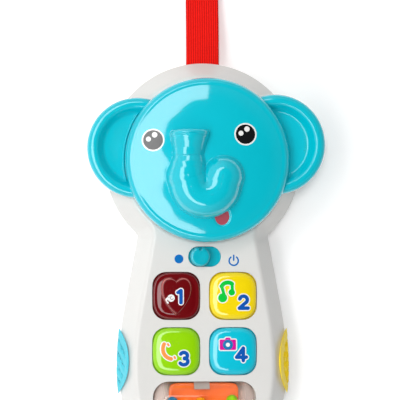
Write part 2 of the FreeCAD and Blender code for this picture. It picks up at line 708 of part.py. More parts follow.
def build_pivot():
    """Pin, washer and screw that hold the swinging face to the head."""
    flange_z = "front_z - wall - pivot_flange"
    top = "front_z + face_gap + plate_thickness + washer_gap"
    flange = cylinder("pivot_flange", "pivot_flange_radius", "pivot_flange", 0, "pivot_y", flange_z)
    pin = cylinder("pivot_shaft", "pivot_radius", f"{top} - ({flange_z})", 0, "pivot_y", flange_z)
    bore = cylinder("pivot_thread", "pilot_radius", 20, 0, "pivot_y", "front_z - 2.5")
    keep("pivot_pin", cut("pivot_pin_bored", fuse("pivot_pin_blank", [flange, pin]), [bore]))
    disc = cylinder("pivot_disc", "washer_radius", 1, 0, "pivot_y", top)
    hole = cylinder("pivot_disc_hole", "bore_radius", 3, 0, "pivot_y", f"{top} - 1")
    keep("pivot_washer", cut("pivot_washer_bored", disc, [hole]))
    shank = cylinder("pivot_screw_shank", 1.2, 6, 0, "pivot_y", f"{top} + 1 - 6")
    head = cylinder("pivot_screw_head", 2.6, 1.6, 0, "pivot_y", f"{top} + 1")
    keep("pivot_screw", fuse("pivot_screw_whole", [shank, head]))


# ---------------------------------------------------------------- swinging face

def swung(name, thing):
    """Turn a finished piece of the face about the pivot to its rest place."""
    link = document.addObject("Part::Compound", name + "_swung")
    link.Links = [thing]
    turn = Rotation(Vector(0, 0, 1), size("face_lean"))
    pivot = Vector(0, size("pivot_y"), 0)
    link.Placement = Placement(pivot - turn.multVec(pivot), turn)
    return keep(name, link)


def face_profile(sketch):
    """Half section of the dome: straight wall, rounded edge, crown, and the same inside."""
    wall = size("wall")
    low = size("front_z") + size("face_gap") + size("plate_thickness")
    radius, rim_z = size("face_radius"), size("face_rim_z")
    edge, edge_z, top = size("face_edge_radius"), size("face_edge_z"), size("face_top_z")
    corner = (radius - edge) * math.sqrt(0.5)

    def half(inset):
        start = Vector(radius - inset, low, 0)
        rim = Vector(radius - inset, rim_z - inset / 2, 0)
        bend = Vector(edge + corner - inset * 0.9, edge_z - (radius - edge) + corner - inset * 0.9, 0)
        crown_edge = Vector(edge - inset * 0.6, edge_z - inset, 0)
        middle = Vector(edge / 2, top - (top - edge_z) / 4 - inset, 0)
        crown = Vector(0, top - inset, 0)
        return start, rim, bend, crown_edge, middle, crown

    for inset in (0, wall):
        start, rim, bend, crown_edge, middle, crown = half(inset)
        sketch.addGeometry(Part.LineSegment(start, rim), False)
        sketch.addGeometry(Part.Arc(rim, bend, crown_edge), False)
        sketch.addGeometry(Part.Arc(crown_edge, middle, crown), False)
    sketch.addGeometry(Part.LineSegment(half(0)[0], half(wall)[0]), False)
    sketch.addGeometry(Part.LineSegment(half(0)[-1], half(wall)[-1]), False)


TRUNK = (
    # radius, height above the centre line, and place from the centre of the face
    ("trunk_end", 9.1, 0.6, -7.4, 12.0),
    ("trunk_side", 8.6, -0.4, -8.4, -6.5),
    ("trunk_bend", 9.2, -0.6, 0.2, -17.3),
    ("trunk_tip", 8.4, -0.6, 8.4, -6.8),
)


def build_face_cover():
    """Moulded dome with the curled trunk on it and three screw bosses inside."""
    body = new_body("face_dome", 0, "face_y", 0)
    sketch = new_sketch(body, "face_dome_profile", "XZ_Plane")
    face_profile(sketch)
    turned = body.newObject("PartDesign::Revolution", "face_dome_turned")
    turned.Profile = sketch
    turned.ReferenceAxis = (sketch, ["V_Axis"])
    turned.Angle = 360
    trunk = []
    for name, radius, rise, x, y in TRUNK:
        trunk.append(sphere(name, radius, x, f"face_y + {y}", f"trunk_z + {rise} - 0.8"))
    places = [Vector(x, size("face_y") + y, 0) for name, radius, rise, x, y in TRUNK]
    for number, (start, end) in enumerate(zip(places, places[1:]), start=1):
        reach = end - start
        bar = document.addObject("Part::Cylinder", f"trunk_length_{number}")
        bind(bar, "Radius", "trunk_radius")
        bar.Height = reach.Length
        bar.Placement = Placement(start, Rotation(Vector(0, 0, 1), reach))
        bind(bar, "Placement.Base.z", "trunk_z - 0.9")
        trunk.append(bar)
    above = box("trunk_keep", 60, 60, 30, 0, "face_y", "face_top_z - 3.2")
    trunk_top = common("trunk_top", fuse("trunk_whole", trunk), above)
    bosses = []
    bores = []
    for number, point in enumerate(ring_points(FACE_SCREW_RING, size("face_y")), start=1):
        low = "front_z + face_gap + plate_thickness"
        bosses.append(cylinder(f"face_boss_{number}", 3, f"37.3 - ({low})", point.x, point.y, low))
        bores.append(cylinder(f"face_pilot_{number}", "bore_radius", 8.5, point.x, point.y, low))
    blank = fuse("face_cover_blank", [body, trunk_top] + bosses)
    swung("face_cover", cut("face_cover_bored", blank, bores))


def build_ear_plate():
    """Back plate of the face with both ears, running on the pivot pin."""
    low = "front_z + face_gap"
    plate = [cylinder("ear_plate_disc", "face_radius", "plate_thickness", 0, "face_y", low)]
    cuts = []
    for side in (-1, 1):
        name = "left_ear" if side < 0 else "right_ear"
        body = new_body(name, f"{side} * ear_x", "ear_y", low)
        sketch = new_sketch(body, name + "_plan")
        circle = sketch.addGeometry(Part.Circle(Vector(0, 0, 0), Vector(0, 0, 1), 10), False)
        sketch.addConstraint(Sketcher.Constraint("Coincident", circle, 3, -1, 1))
        radius = sketch.addConstraint(Sketcher.Constraint("Radius", circle, 10))
        bind(sketch, f"Constraints[{radius}]", "ear_radius")
        raised = pad(body, sketch, name + "_pad", f"ear_top_z - ({low})")
        document.recompute()
        round_off(body, raised, name + "_rim", "ear_edge", lies_at(raised.Shape.BoundBox.ZMax))
        plate.append(body)
        cuts.append(cone(name + "_bowl", "ear_bowl_radius - 1.5", "ear_bowl_radius + 1", 5,
                         f"{side} * ear_x", "ear_y", "ear_bowl_z"))
    cuts.append(cylinder("ear_plate_seat", "face_radius", 20, 0, "face_y", f"{low} + plate_thickness"))
    cuts.append(cylinder("ear_plate_bore", "pivot_radius + pivot_clearance", THROUGH,
                         0, "pivot_y", f"{low} - 2"))
    for number, point in enumerate(ring_points(FACE_SCREW_RING, size("face_y")), start=1):
        cuts.append(cylinder(f"ear_plate_well_{number}", 2.7, 1.2, point.x, point.y, low))
        cuts.append(cylinder(f"ear_plate_hole_{number}", "bore_radius", THROUGH,
                             point.x, point.y, f"{low} - 1"))
    swung("ear_plate", cut("ear_plate_cut", fuse("ear_plate_blank", plate), cuts))


def build_face_screws():
    """Three screws, put in from behind, that hold the dome on its plate."""
    low = "front_z + face_gap"
    screws = []
    for number, point in enumerate(ring_points(FACE_SCREW_RING, size("face_y")), start=1):
        head = cylinder(f"face_screw_head_{number}", 2.5, 1.1, point.x, point.y, f"{low} + 0.1")
        shank = cylinder(f"face_screw_shank_{number}", 1.2, 8, point.x, point.y, f"{low} + 1.2")
        screws.append(fuse(f"face_screw_{number}", [head, shank]))
    swung("face_screws", group("face_screw_set", screws))


# ---------------------------------------------------------------- keys and slide

def build_keys():
    """Four domed caps, each with a flange under the shell and a stem over the rubber mat."""
    for name, x, y in KEYS:
        cap = rounded_block(name + "_cap", "key_size", "key_size", "key_top_z - key_flange_high_z",
                            "key_corner", x, y, "key_flange_high_z", edge="key_edge", bow="key_bow")
        flange = rounded_block(name + "_flange", "key_flange", "key_flange",
                               "key_flange_high_z - key_flange_low_z", 1.8, x, y, "key_flange_low_z")
        stem = cylinder(name + "_stem", "key_stem_radius", "key_flange_high_z - key_stem_z",
                        x, y, "key_stem_z")
        keep(name, fuse(name, [cap, flange, stem]))


def build_power_slide():
    """Round knob on a plate that slides under the slot, and the switch on the board."""
    plate = rounded_block("knob_plate", "knob_plate_length", "knob_plate_width",
                          "knob_plate_high_z - knob_plate_low_z", 2, "knob_x", "slide_y", "knob_plate_low_z")
    knob = rounded_block("knob_top", "2 * knob_radius", "2 * knob_radius - 0.4",
                         "knob_top_z - knob_plate_high_z", "knob_radius - 0.3", "knob_x", "slide_y",
                         "knob_plate_high_z", edge="knob_edge")
    fork = box("knob_fork", 4, 3, 1.4, "knob_x", "slide_y", "knob_plate_low_z - 1.4")
    keep("power_knob", fuse("power_knob", [plate, knob, fork]))
    can = box("switch_can", 13, 6, 4, "knob_x + 2", "slide_y", "board_high_z")
    keep("slide_switch", can)


# ---------------------------------------------------------------- electronics

def build_board():
    """Circuit board with notches round the screw bosses."""
    length = size("board_head_end") - size("board_roller_end")
    middle = (size("board_head_end") + size("board_roller_end")) / 2
    slab = box("board_slab", "board_width", f"{length}", "board_high_z - board_low_z",
               0, middle, "board_low_z")
    notches = screw_posts("board_notch", "boss_radius + 0.5", "parting_z", "front_z")
    keep("circuit_board", cut("circuit_board_cut", slab, notches))


def build_mat():
    """Rubber mat with a skirt round each key stem and a hole over the lamp."""
    length = size("mat_head_end") - size("board_roller_end")
    middle = (size("mat_head_end") + size("board_roller_end")) / 2
    slab = box("mat_slab", "mat_width", f"{length}", "mat_z - board_high_z", 0, middle, "board_high_z")
    skirts = [slab]
    hollows = [cylinder("mat_lamp_hole", 2.5, THROUGH, *LAMP, "board_high_z - 1")]
    for name, x, y in KEYS:
        skirts.append(cylinder(f"mat_{name}_skirt", "skirt_radius", "skirt_z - mat_z", x, y, "mat_z"))
        hollows.append(cylinder(f"mat_{name}_hollow", "skirt_radius - skirt_wall", THROUGH, x, y, "mat_z"))
    keep("button_mat", cut("button_mat_cut", fuse("button_mat_blank", skirts), hollows))


def build_board_parts():
    """Lamp behind the first key, sound chip and capacitor."""
    body = cylinder("lamp_body", 1.9, 1.6, *LAMP, "board_high_z")
    dome = sphere("lamp_dome", 1.6, *LAMP, "board_high_z + 1.61")
    keep("heart_lamp", fuse("heart_lamp", [body, dome]))
    keep("sound_chip", cone("sound_chip", 2.4, 3.4, 1.4, -19.5, -28, "board_low_z - 1.4"))
    keep("capacitor", cylinder("capacitor", 2.4, 5.5, 19.5, -28, "board_low_z - 5.5"))


def build_speaker():
    """Small loudspeaker that faces the grille in the back."""
    flange_top = "speaker_z + speaker_flange"
    flange = cylinder("basket_flange", "speaker_radius", "speaker_flange", 0, "speaker_y", "speaker_z")
    wall = cone("basket_wall", "basket_foot", "basket_neck", "basket_height", 0, "speaker_y", flange_top)
    hollow = [
        cone("basket_hollow", "basket_foot - basket_wall", "basket_neck - basket_wall", "basket_height",
             0, "speaker_y", flange_top),
        cylinder("basket_mouth", "basket_foot - basket_wall", "speaker_flange + 1",
                 0, "speaker_y", "speaker_z - 1"),
        cylinder("basket_back", 5, THROUGH, 0, "speaker_y", flange_top),
    ]
    keep("speaker_basket", cut("speaker_basket_cut", fuse("basket_blank", [flange, wall]), hollow))
    outside = cone("cone_outside", 13.2, 4, "basket_height", 0, "speaker_y", "speaker_z + 0.2")
    inside = cone("cone_inside", 12.7, 3.4, "basket_height", 0, "speaker_y", "speaker_z - 0.2")
    keep("speaker_cone", cut("speaker_cone_cut", outside, [inside]))
    keep("speaker_magnet", cylinder("speaker_magnet", "magnet_radius", "magnet_height", 0, "speaker_y",
                                   f"{flange_top} + basket_height"))
    screws = []
    for number, point in enumerate(ring_points(SPEAKER_SCREW_RING, size("speaker_y")), start=1):
        head = cylinder(f"speaker_screw_head_{number}", 3.4, 1.4, point.x, point.y, flange_top)
        shank = cylinder(f"speaker_screw_shank_{number}", 1, 3.6, point.x, point.y, f"{flange_top} - 3.6")
        screws.append(fuse(f"speaker_screw_{number}", [head, shank]))
    keep("speaker_screws", group("speaker_screws", screws))


# ---------------------------------------------------------------- batteries

def helix_spring(name, radius, wire, pitch, turns):
    """A coil spring round the Z axis."""
    path = Part.makeHelix(pitch, pitch * turns, radius)
    start = Vector(radius, 0, 0)
    section = Part.Wire([Part.Circle(start, Vector(0, 1, 0), wire).toShape()])
    coil = Part.Wire(path.Edges).makePipeShell([section], True, True)
    thing = document.addObject("Part::Feature", name)
    thing.Shape = coil
    return thing


def build_batteries():
    """Two AAA cells side by side, head to tail, with their plates and springs."""
    middle = (size("bay_head_end") + size("bay_roller_end")) / 2
    plates = []
    springs = []
    for name, side in (("battery_left", -1), ("battery_right", 1)):
        flip = -side
        can_low = middle - size("cell_can") / 2 + flip * SPRING_SHIFT
        can = cylinder(name + "_can", "cell_radius", "cell_can", f"{side} * cell_x", can_low, "cell_z", "y")
        nub_y = can_low + size("cell_can") if flip > 0 else can_low - size("nub_length")
        nub = cylinder(name + "_nub", "nub_radius", "nub_length", f"{side} * cell_x", nub_y, "cell_z", "y")
        keep(name, fuse(name, [can, nub]))
        reach = (size("bay_head_end") - size("bay_roller_end")) / 2
        nub_plate = middle + flip * (size("cell_can") / 2 + SPRING_SHIFT + size("nub_length") + 0.35)
        plates.append(box(name + "_nub_plate", 8, 0.5, 9.6, f"{side} * cell_x", nub_plate, 4))
        spring_plate = middle - flip * (reach - 0.35)
        plates.append(box(name + "_spring_plate", 8, 0.5, 9.6, f"{side} * cell_x", spring_plate, 4))
        spring = helix_spring(name + "_spring", 2.6, 0.3, 0.95, 3)
        turn = Rotation(Vector(1, 0, 0), -90 * flip)
        base = Vector(side * size("cell_x"), spring_plate + flip * 0.58, size("cell_z"))
        spring.Placement = Placement(base, turn)
        springs.append(spring)
    keep("battery_contacts", group("battery_contacts", plates))
    keep("battery_springs", group("battery_springs", springs))


def build_battery_door():
    """Flush door in the back, with two screws that stay in it."""
    length = size("bay_head_end") - size("bay_roller_end") + 2 * size("door_overlap")
    middle = (size("bay_head_end") + size("bay_roller_end")) / 2
    slab = rounded_block("door_slab", "2 * door_half", f"{length}", "door_thickness", 1, 0, middle, 0)
    wells = []
    screws = []
    for number, y in enumerate(door_screw_places(), start=1):
        wells.append(cylinder(f"door_well_{number}", 1.9, 1, 0, y, 0))
        wells.append(cylinder(f"door_hole_{number}", "bore_radius", THROUGH, 0, y, -1))
        head = cylinder(f"door_screw_head_{number}", 1.8, 0.8, 0, y, 0.2)
        shank = cylinder(f"door_screw_shank_{number}", 1.15, 7, 0, y, 1)
        screws.append(fuse(f"door_screw_{number}", [head, shank]))
    finger = box("door_finger_slot", THROUGH, 1.6, 0.9, 0, f"{middle} + 16", 0)
    keep("battery_door", cut("battery_door_cut", slab, wells + [finger]))
    keep("battery_door_screws", group("battery_door_screws", screws))


# ---------------------------------------------------------------- roller

def build_cradle():
    """White trough behind the drum, with the bearings of its stubs."""
    half = size("cradle_half") + size("cradle_end")
    tub = cylinder("cradle_tub", "cradle_radius", f"{2 * half}", -half, "roller_y", "roller_z", "x")
    room = rear_blank("cradle_room_low", size("wall") + 0.3, "wall + 0.2", "back_inner_radius")
    room_top = front_blank("cradle_room_high", size("wall") + 0.3, "front_z - wall - 0.1")
    trimmed = common("cradle_trimmed", tub, fuse("cradle_room", [room, room_top]))
    hollow = cylinder("cradle_hollow", "cradle_inner", "2 * cradle_half", "-cradle_half", "roller_y",
                      "roller_z", "x")
    above = box("cradle_open", "2 * cradle_half", 40, 20, 0, "roller_y", "roller_z + 1")
    key_room = box("cradle_key_room", 60, 10, 20, 0, "lower_key_y - key_pocket / 2 + 4.95", "roller_z + 1")
    bearing = cylinder("cradle_bearing", "stub_bore", 60, -30, "roller_y", "roller_z", "x")
    notches = screw_posts("cradle_notch", "rear_boss_radius + 0.3", 0, "front_z")
    keep("roller_cradle", cut("roller_cradle_cut", trimmed, [hollow, above, key_room, bearing] + notches))


def build_drum():
    """Clear drum in two cups that meet in the middle, each with its axle stub."""
    for name, side in (("roller_left_half", -1), ("roller_right_half", 1)):
        body = new_body(name + "_body", 0, "roller_y", "roller_z")
        sketch = new_sketch(body, name + "_profile", "XZ_Plane")
        for inset in (0, size("roller_wall")):
            radius = size("roller_radius") - inset
            reach = size("roller_half") - inset
            bend = size("roller_end") - inset
            knee = math.sqrt(0.5) * bend
            lip = Vector(0, radius, 0)
            turn = Vector(side * (reach - bend), radius, 0)
            mid = Vector(side * (reach - bend + knee), radius - bend + knee, 0)
            end = Vector(side * reach, radius - bend, 0)
            axis_end = Vector(side * reach, 0, 0)
            sketch.addGeometry(Part.LineSegment(lip, turn), False)
            sketch.addGeometry(Part.Arc(turn, mid, end), False)
            sketch.addGeometry(Part.LineSegment(end, axis_end), False)
        thick = size("roller_wall")
        sketch.addGeometry(Part.LineSegment(Vector(0, size("roller_radius"), 0),
                                            Vector(0, size("roller_radius") - thick, 0)), False)
        sketch.addGeometry(Part.LineSegment(Vector(side * size("roller_half"), 0, 0),
                                            Vector(side * (size("roller_half") - thick), 0, 0)), False)
        turned = body.newObject("PartDesign::Revolution", name + "_turned")
        turned.Profile = sketch
        turned.ReferenceAxis = (sketch, ["H_Axis"])
        turned.Angle = 360
        start = "roller_half - 0.2" if side > 0 else "-roller_half - stub_length"
        stub = cylinder(name + "_stub", "stub_radius", "stub_length + 0.2",
                        start, "roller_y", "roller_z", "x")
        keep(name, fuse(name, [body, stub]))
    plate = box("paddle_plate", "paddle_width", "2 * paddle_reach", "2 * paddle_half", 0, "roller_y",
                "roller_z - paddle_half")
    rod = cylinder("paddle_rod", "spindle_radius", "2 * (roller_half - roller_wall)",
                   "-roller_half + roller_wall", "roller_y", "roller_z", "x")
    keep("roller_paddle", fuse("roller_paddle", [plate, rod]))
    for name, x, shift, rise in BEADS:
        keep(name, sphere(name, "bead_radius", x, f"roller_y + {shift}", f"roller_z + {rise}"))


# ---------------------------------------------------------------- strap

def bend(before, corner, after):
    """Tangent arc at a corner of a route, as large as its two runs allow."""
    back, forward = before - corner, after - corner
    reach = ARC_REACH * min(back.Length, forward.Length)
    back.normalize()
    forward.normalize()
    turn = math.pi - back.getAngle(forward)
    radius = reach / math.tan(turn / 2)
    inward = (back + forward).normalize()
    centre = corner + inward * radius / math.cos(turn / 2)
    print("bend radius", round(radius, 1))
    return corner + back * reach, centre - inward * radius, corner + forward * reach


def smooth_path(route):
    """Straight runs joined by tangent arcs along a route."""
    edges = []
    last = route[0]
    for before, corner, after in zip(route, route[1:], route[2:]):
        start, middle, end = bend(before, corner, after)
        edges.append(Part.LineSegment(last, start).toShape())
        edges.append(Part.Arc(start, middle, end).toShape())
        last = end
    edges.append(Part.LineSegment(last, route[-1]).toShape())
    return Part.Wire(edges)


def build_strap():
    """Webbing strap: sewn round its bar, out of the head and down to the surface."""
    half = size("strap_thickness") / 2
    width = size("strap_width") / 2
    route = [Vector(0, y, z) for y, z in STRAP_ROUTE]
    path = smooth_path(route)
    corners = [Vector(x, 0, z) for x, z in ((-width, -half), (width, -half), (width, half), (-width, half))]
    section = Part.makePolygon([route[0] + corner for corner in corners + corners[:1]])
    band = path.makePipeShell([section], True, False)
    print("strap length", round(path.Length, 1), "volume ratio",
          round(band.Volume / (path.Length * 4 * width * half), 4))
    strap = document.addObject("Part::Feature", "strap")
    strap.Shape = band
    keep("strap", strap)
    outer = cylinder("strap_loop_outer", "bar_radius + strap_thickness + 0.05", "strap_width",
                     "-strap_width / 2", "bar_y", "strap_z", "x")
    inner = cylinder("strap_loop_inner", "bar_radius + 0.05", "strap_width + 2", "-strap_width / 2 - 1",
                     "bar_y", "strap_z", "x")
    keep("strap_loop", cut("strap_loop_cut", outer, [inner]))
    keep("strap_bar", cylinder("strap_bar", "bar_radius", 23, -11.5, "bar_y", "strap_z", "x"))
    build_snaps(f"{STRAP_ROUTE[-1][1]} + strap_thickness / 2")


def build_snaps(top):
    """Press stud on the free end of the webbing: a socket half and a stud half."""
    for name, y in SNAPS:
        disc = cylinder(name + "_disc", "snap_radius", "snap_flange", 0, y, top)
        raised = f"{top} + snap_flange"
        if name == "snap_socket":
            ring = cylinder(name + "_ring", 4, 1.6, 0, y, raised)
            hole = cylinder(name + "_hole", 2.7, THROUGH, 0, y, f"{raised} - 0.2")
            keep(name, cut(name + "_cut", fuse(name + "_blank", [disc, ring]), [hole]))
        else:
            boss = cylinder(name + "_boss", 2.6, 1.6, 0, y, raised)
            keep(name, fuse(name, [disc, boss]))


# ---------------------------------------------------------------- wires

def build_wires():
    """Two insulated wires from the board to the loudspeaker."""
    for name, side in (("speaker_wire_left", -1), ("speaker_wire_right", 1)):
        route = [Vector(side * x, y, z) for x, y, z in WIRE_ROUTE]
        section = Part.Wire([Part.Circle(route[0], route[1] - route[0], WIRE_RADIUS).toShape()])
        wire = document.addObject("Part::Feature", name)
        wire.Shape = smooth_path(route).makePipeShell([section], True, True)
        keep(name, wire)


build_front_shell()
build_rear_shell()
build_case_screws()
build_grips()
build_mirror()
build_pivot()
build_face_cover()
build_ear_plate()
build_face_screws()
build_keys()
build_power_slide()
build_board()
build_mat()
build_board_parts()
build_speaker()
build_batteries()
build_battery_door()
build_cradle()
build_drum()
build_strap()
build_wires()
document.recompute()

# ---------------------------------------------------------------- checks and export

for thing in document.Objects:
    if "Invalid" in thing.State or "Error" in thing.State:
        raise RuntimeError(f"{thing.Label} failed: {thing.State}")

os.makedirs("parts", exist_ok=True)
for name, thing in nodes.items():
    if thing.Shape.isNull() or not thing.Shape.isValid():
        raise RuntimeError(f"{name} has no valid shape")
    thing.Shape.exportStep(f"parts/{name}.step")
print(len(nodes), "sub-parts written")
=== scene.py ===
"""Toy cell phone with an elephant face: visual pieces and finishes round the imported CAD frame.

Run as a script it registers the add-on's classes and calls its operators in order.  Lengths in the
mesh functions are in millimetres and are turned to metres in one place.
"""

import json
import math

import bmesh
import bpy
import numpy as np
from mathutils import Matrix, Vector


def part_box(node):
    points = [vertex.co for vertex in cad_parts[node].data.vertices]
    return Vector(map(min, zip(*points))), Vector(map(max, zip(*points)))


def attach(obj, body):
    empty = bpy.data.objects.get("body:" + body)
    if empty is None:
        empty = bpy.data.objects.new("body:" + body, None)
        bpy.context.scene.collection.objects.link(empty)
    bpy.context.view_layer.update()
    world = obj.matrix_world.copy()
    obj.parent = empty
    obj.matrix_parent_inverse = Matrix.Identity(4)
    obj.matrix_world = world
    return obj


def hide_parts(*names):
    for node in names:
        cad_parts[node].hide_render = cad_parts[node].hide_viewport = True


bl_info = {
    "name": "Elephant Toy Phone",
    "version": (1, 0, 0),
    "blender": (4, 5, 0),
    "location": "3D View > Sidebar > Toy Phone",
    "description": "Builds a baby's toy phone with a swinging elephant face on its CAD frame",
    "category": "Add Mesh",
}

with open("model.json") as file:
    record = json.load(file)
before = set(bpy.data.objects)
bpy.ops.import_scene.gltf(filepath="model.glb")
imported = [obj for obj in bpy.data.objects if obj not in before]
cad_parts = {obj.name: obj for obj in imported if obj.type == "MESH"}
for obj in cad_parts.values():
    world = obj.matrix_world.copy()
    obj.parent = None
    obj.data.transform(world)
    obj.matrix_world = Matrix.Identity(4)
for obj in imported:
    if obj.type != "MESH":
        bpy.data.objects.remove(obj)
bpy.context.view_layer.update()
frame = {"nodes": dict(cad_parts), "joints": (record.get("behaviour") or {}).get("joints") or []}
NODES = frame["nodes"]
MM = 0.001


# ---------------------------------------------------------------- places taken from the frame


def node_middle(name):
    """Middle of a CAD node's box, in millimetres."""
    low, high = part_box(name)
    return (low + high) / 2 / MM


def joint_point(name):
    """A point on a joint's axis, in millimetres."""
    return Vector(next(joint for joint in frame["joints"] if joint["name"] == name)["pos_m"]) / MM


PIVOT = joint_point("face_swing")
ROLLER_AXIS = joint_point("roller_spin")
FRONT_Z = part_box("front_shell")[1].z / MM
FACE_LEAN = math.radians(1.6)
FACE_CENTRE = Vector((0, 45.2, 0))
FACE_PLATE_Z = FRONT_Z + 0.5
KEYS = ("button_1", "button_2", "button_3", "button_4")


# ---------------------------------------------------------------- colours


def linear(code):
    """Linear colour, with alpha, of an sRGB hex code."""
    parts = [int(code[start : start + 2], 16) / 255 for start in (1, 3, 5)]
    return [part / 12.92 if part <= 0.04045 else ((part + 0.055) / 1.055) ** 2.4 for part in parts] + [1.0]


def colour_property(name, description, code):
    """A colour setting with its default as sRGB hex."""
    return bpy.props.FloatVectorProperty(
        name=name, description=description, subtype="COLOR", size=4, min=0, max=1, default=linear(code)
    )


def length_property(name, description, millimetres):
    """A length setting with its default in millimetres."""
    return bpy.props.FloatProperty(
        name=name, description=description, subtype="DISTANCE", unit="LENGTH", default=millimetres * MM
    )


class ToyPhoneColours(bpy.types.PropertyGroup):
    """Colours of the mouldings, prints and fabric."""

    casing: colour_property("Casing", "White moulded casing", "#DDDCD9")
    elephant: colour_property("Elephant", "Face and ears", "#00C2D4")
    slide: colour_property("Slide", "Knob of the on/off slide", "#00B4C6")
    key_1: colour_property("Key 1", "Clear red key with the heart", "#6E0008")
    key_2: colour_property("Key 2", "Music key", "#FADC00")
    key_3: colour_property("Key 3", "Call key", "#97DB00")
    key_4: colour_property("Key 4", "Camera key", "#00C4DC")
    left_grip: colour_property("Left grip", "Soft grip on the left side", "#4CC8DA")
    right_grip: colour_property("Right grip", "Soft grip on the right side", "#FFE022")
    paddle: colour_property("Paddle", "Plate inside the roller", "#F4700C")
    # The strap's two colours are lit and shaded copies of one red: the valley colour is painted shade.
    strap: colour_property("Strap", "Crown of the yarns of the webbing", "#FF1A0C")
    strap_valley_painted_shade: colour_property("Strap valley shade", "Between the yarns of the webbing", "#C80806")
    digit: colour_property("Digits", "Printed numbers", "#0C58B4")
    mark: colour_property("Marks", "Printed dot and power mark", "#0870BE")
    tongue: colour_property("Tongue", "Painted mouth", "#B4505E")
    floor: colour_property("Floor", "Pale floor", "#FFFFFF")


class ToyPhoneSizes(bpy.types.PropertyGroup):
    """Sizes of the visual pieces that don't come from the frame."""

    dome_top: length_property("Dome top", "Crown of the face above the back", 42)
    dome_edge: length_property("Dome edge", "Height of the dome's outer edge", 36)
    rib_pitch: length_property("Webbing rib", "Distance between the weft ribs of the strap", 1.6)
    eye_radius: length_property("Eye", "Radius of the printed eye with its white ring", 5.35)
    pupil_radius: length_property("Pupil", "Radius of the black of the eye", 4.65)
    key_crown: length_property("Key crown", "Height of a key cap's dome", 2.9)
    camera_distance: length_property("Camera distance", "Camera to the middle of the view", 1000)


def sizes():
    """The size settings."""
    return bpy.context.scene.toy_phone_sizes


def colours():
    """The colour settings."""
    return bpy.context.scene.toy_phone_colours


# ---------------------------------------------------------------- materials


def add_node(tree, kind, settings=None, links=None):
    """Add a shader node: settings by attribute or socket name, links by socket."""
    made = tree.nodes.new(kind)
    for name, value in (settings or {}).items():
        if isinstance(name, str) and hasattr(made, name):
            setattr(made, name, value)
        else:
            made.inputs[name].default_value = value
    for name, source in (links or {}).items():
        tree.links.new(source, made.inputs[name])
    return made


def new_material(name, colour, roughness, **sockets):
    """A material with one shader; socket names have underscores for spaces."""
    material = bpy.data.materials.new(name)
    material.use_nodes = True
    inputs = shading(material)[1].inputs
    inputs["Base Color"].default_value = colour
    inputs["Roughness"].default_value = roughness
    for socket, value in sockets.items():
        inputs[socket.replace("_", " ")].default_value = value
    return material


def shading(material):
    """The node tree and the shader of a material."""
    return material.node_tree, material.node_tree.nodes["Principled BSDF"]


def object_noise(tree, grain_mm, detail, stretch=(1, 1, 1)):
    """Noise whose grains measure grain_mm, fixed to the piece."""
    place = add_node(tree, "ShaderNodeTexCoord").outputs["Object"]
    scaled = add_node(tree, "ShaderNodeMapping", {"Scale": stretch}, {"Vector": place}).outputs["Vector"]
    return add_node(tree, "ShaderNodeTexNoise", {"Scale": 1 / (grain_mm * MM), "Detail": detail},
                    {"Vector": scaled}).outputs["Fac"]


def add_bump(material, height, depth_mm):
    """Relief of the given depth on a material."""
    tree, shader = shading(material)
    bump = add_node(tree, "ShaderNodeBump", {"Distance": depth_mm * MM}, {"Height": height})
    tree.links.new(bump.outputs["Normal"], shader.inputs["Normal"])


def textured(material, relief=None, tint=None, polish=None, stretch=(1, 1, 1)):
    """Let a material's height, colour and roughness wander with noise.

    Each of the three starts with the grain in millimetres and the noise's detail.  Then relief has
    its depth in millimetres, tint its share of the colour, and polish its two roughnesses.
    The stretch draws out the marks of relief and polish.
    """
    tree, shader = shading(material)
    if relief:
        add_bump(material, object_noise(tree, *relief[:2], stretch), relief[2])
    if tint:
        colour, share = shader.inputs["Base Color"].default_value, tint[2]
        dark = [channel * (1 - share) for channel in colour[:3]] + [1]
        light = [min(1, channel * (1 + share)) for channel in colour[:3]] + [1]
        mixed = add_node(tree, "ShaderNodeMix", {"data_type": "RGBA", 6: dark, 7: light},
                         {0: object_noise(tree, *tint[:2])})
        tree.links.new(mixed.outputs[2], shader.inputs["Base Color"])
    if polish:
        spread = add_node(tree, "ShaderNodeMapRange", {"To Min": polish[2], "To Max": polish[3]},
                          {"Value": object_noise(tree, *polish[:2], stretch)})
        tree.links.new(spread.outputs["Result"], shader.inputs["Roughness"])
    return material


def gloss_abs(name, colour, roughness=0.09):
    """ABS from a polished mould under clear lacquer: mirror-like gloss, faintly rippled by shrinkage."""
    material = new_material(name, colour, roughness, IOR=1.54, Coat_Weight=1.0, Coat_Roughness=0.04)
    return textured(material, relief=(9, 0, 0.12), tint=(14, 1, 0.025),
                    polish=(0.8, 3, roughness * 0.8, roughness * 1.3))


def satin_abs(name, colour, roughness=0.34):
    """ABS from a spark-eroded mould: soft sheen with a fine even grain."""
    # The real grain is about 0.05 mm; it is drawn at 0.35 mm so that it still shows.
    return textured(new_material(name, colour, roughness, IOR=1.54), relief=(0.35, 2, 0.012),
                    tint=(18, 1, 0.012), polish=(0.35, 2, roughness * 0.9, roughness * 1.12))


def clear_red_styrene(name, colour):
    """Tinted clear polystyrene, moulded: deep dark red with the hardest gloss of all the keys."""
    material = new_material(name, colour, 0.06, IOR=1.59, Coat_Weight=0.4, Coat_Roughness=0.04)
    return textured(material, relief=(7, 0, 0.05), tint=(6, 1, 0.12))


def soft_elastomer(name, colour):
    """Thermoplastic elastomer, moulded: dull and slightly soft to the eye."""
    return textured(new_material(name, colour, 0.46, IOR=1.5, Sheen_Weight=0.06), relief=(0.45, 3, 0.02),
                    tint=(5, 2, 0.03), polish=(0.45, 3, 0.4, 0.52))


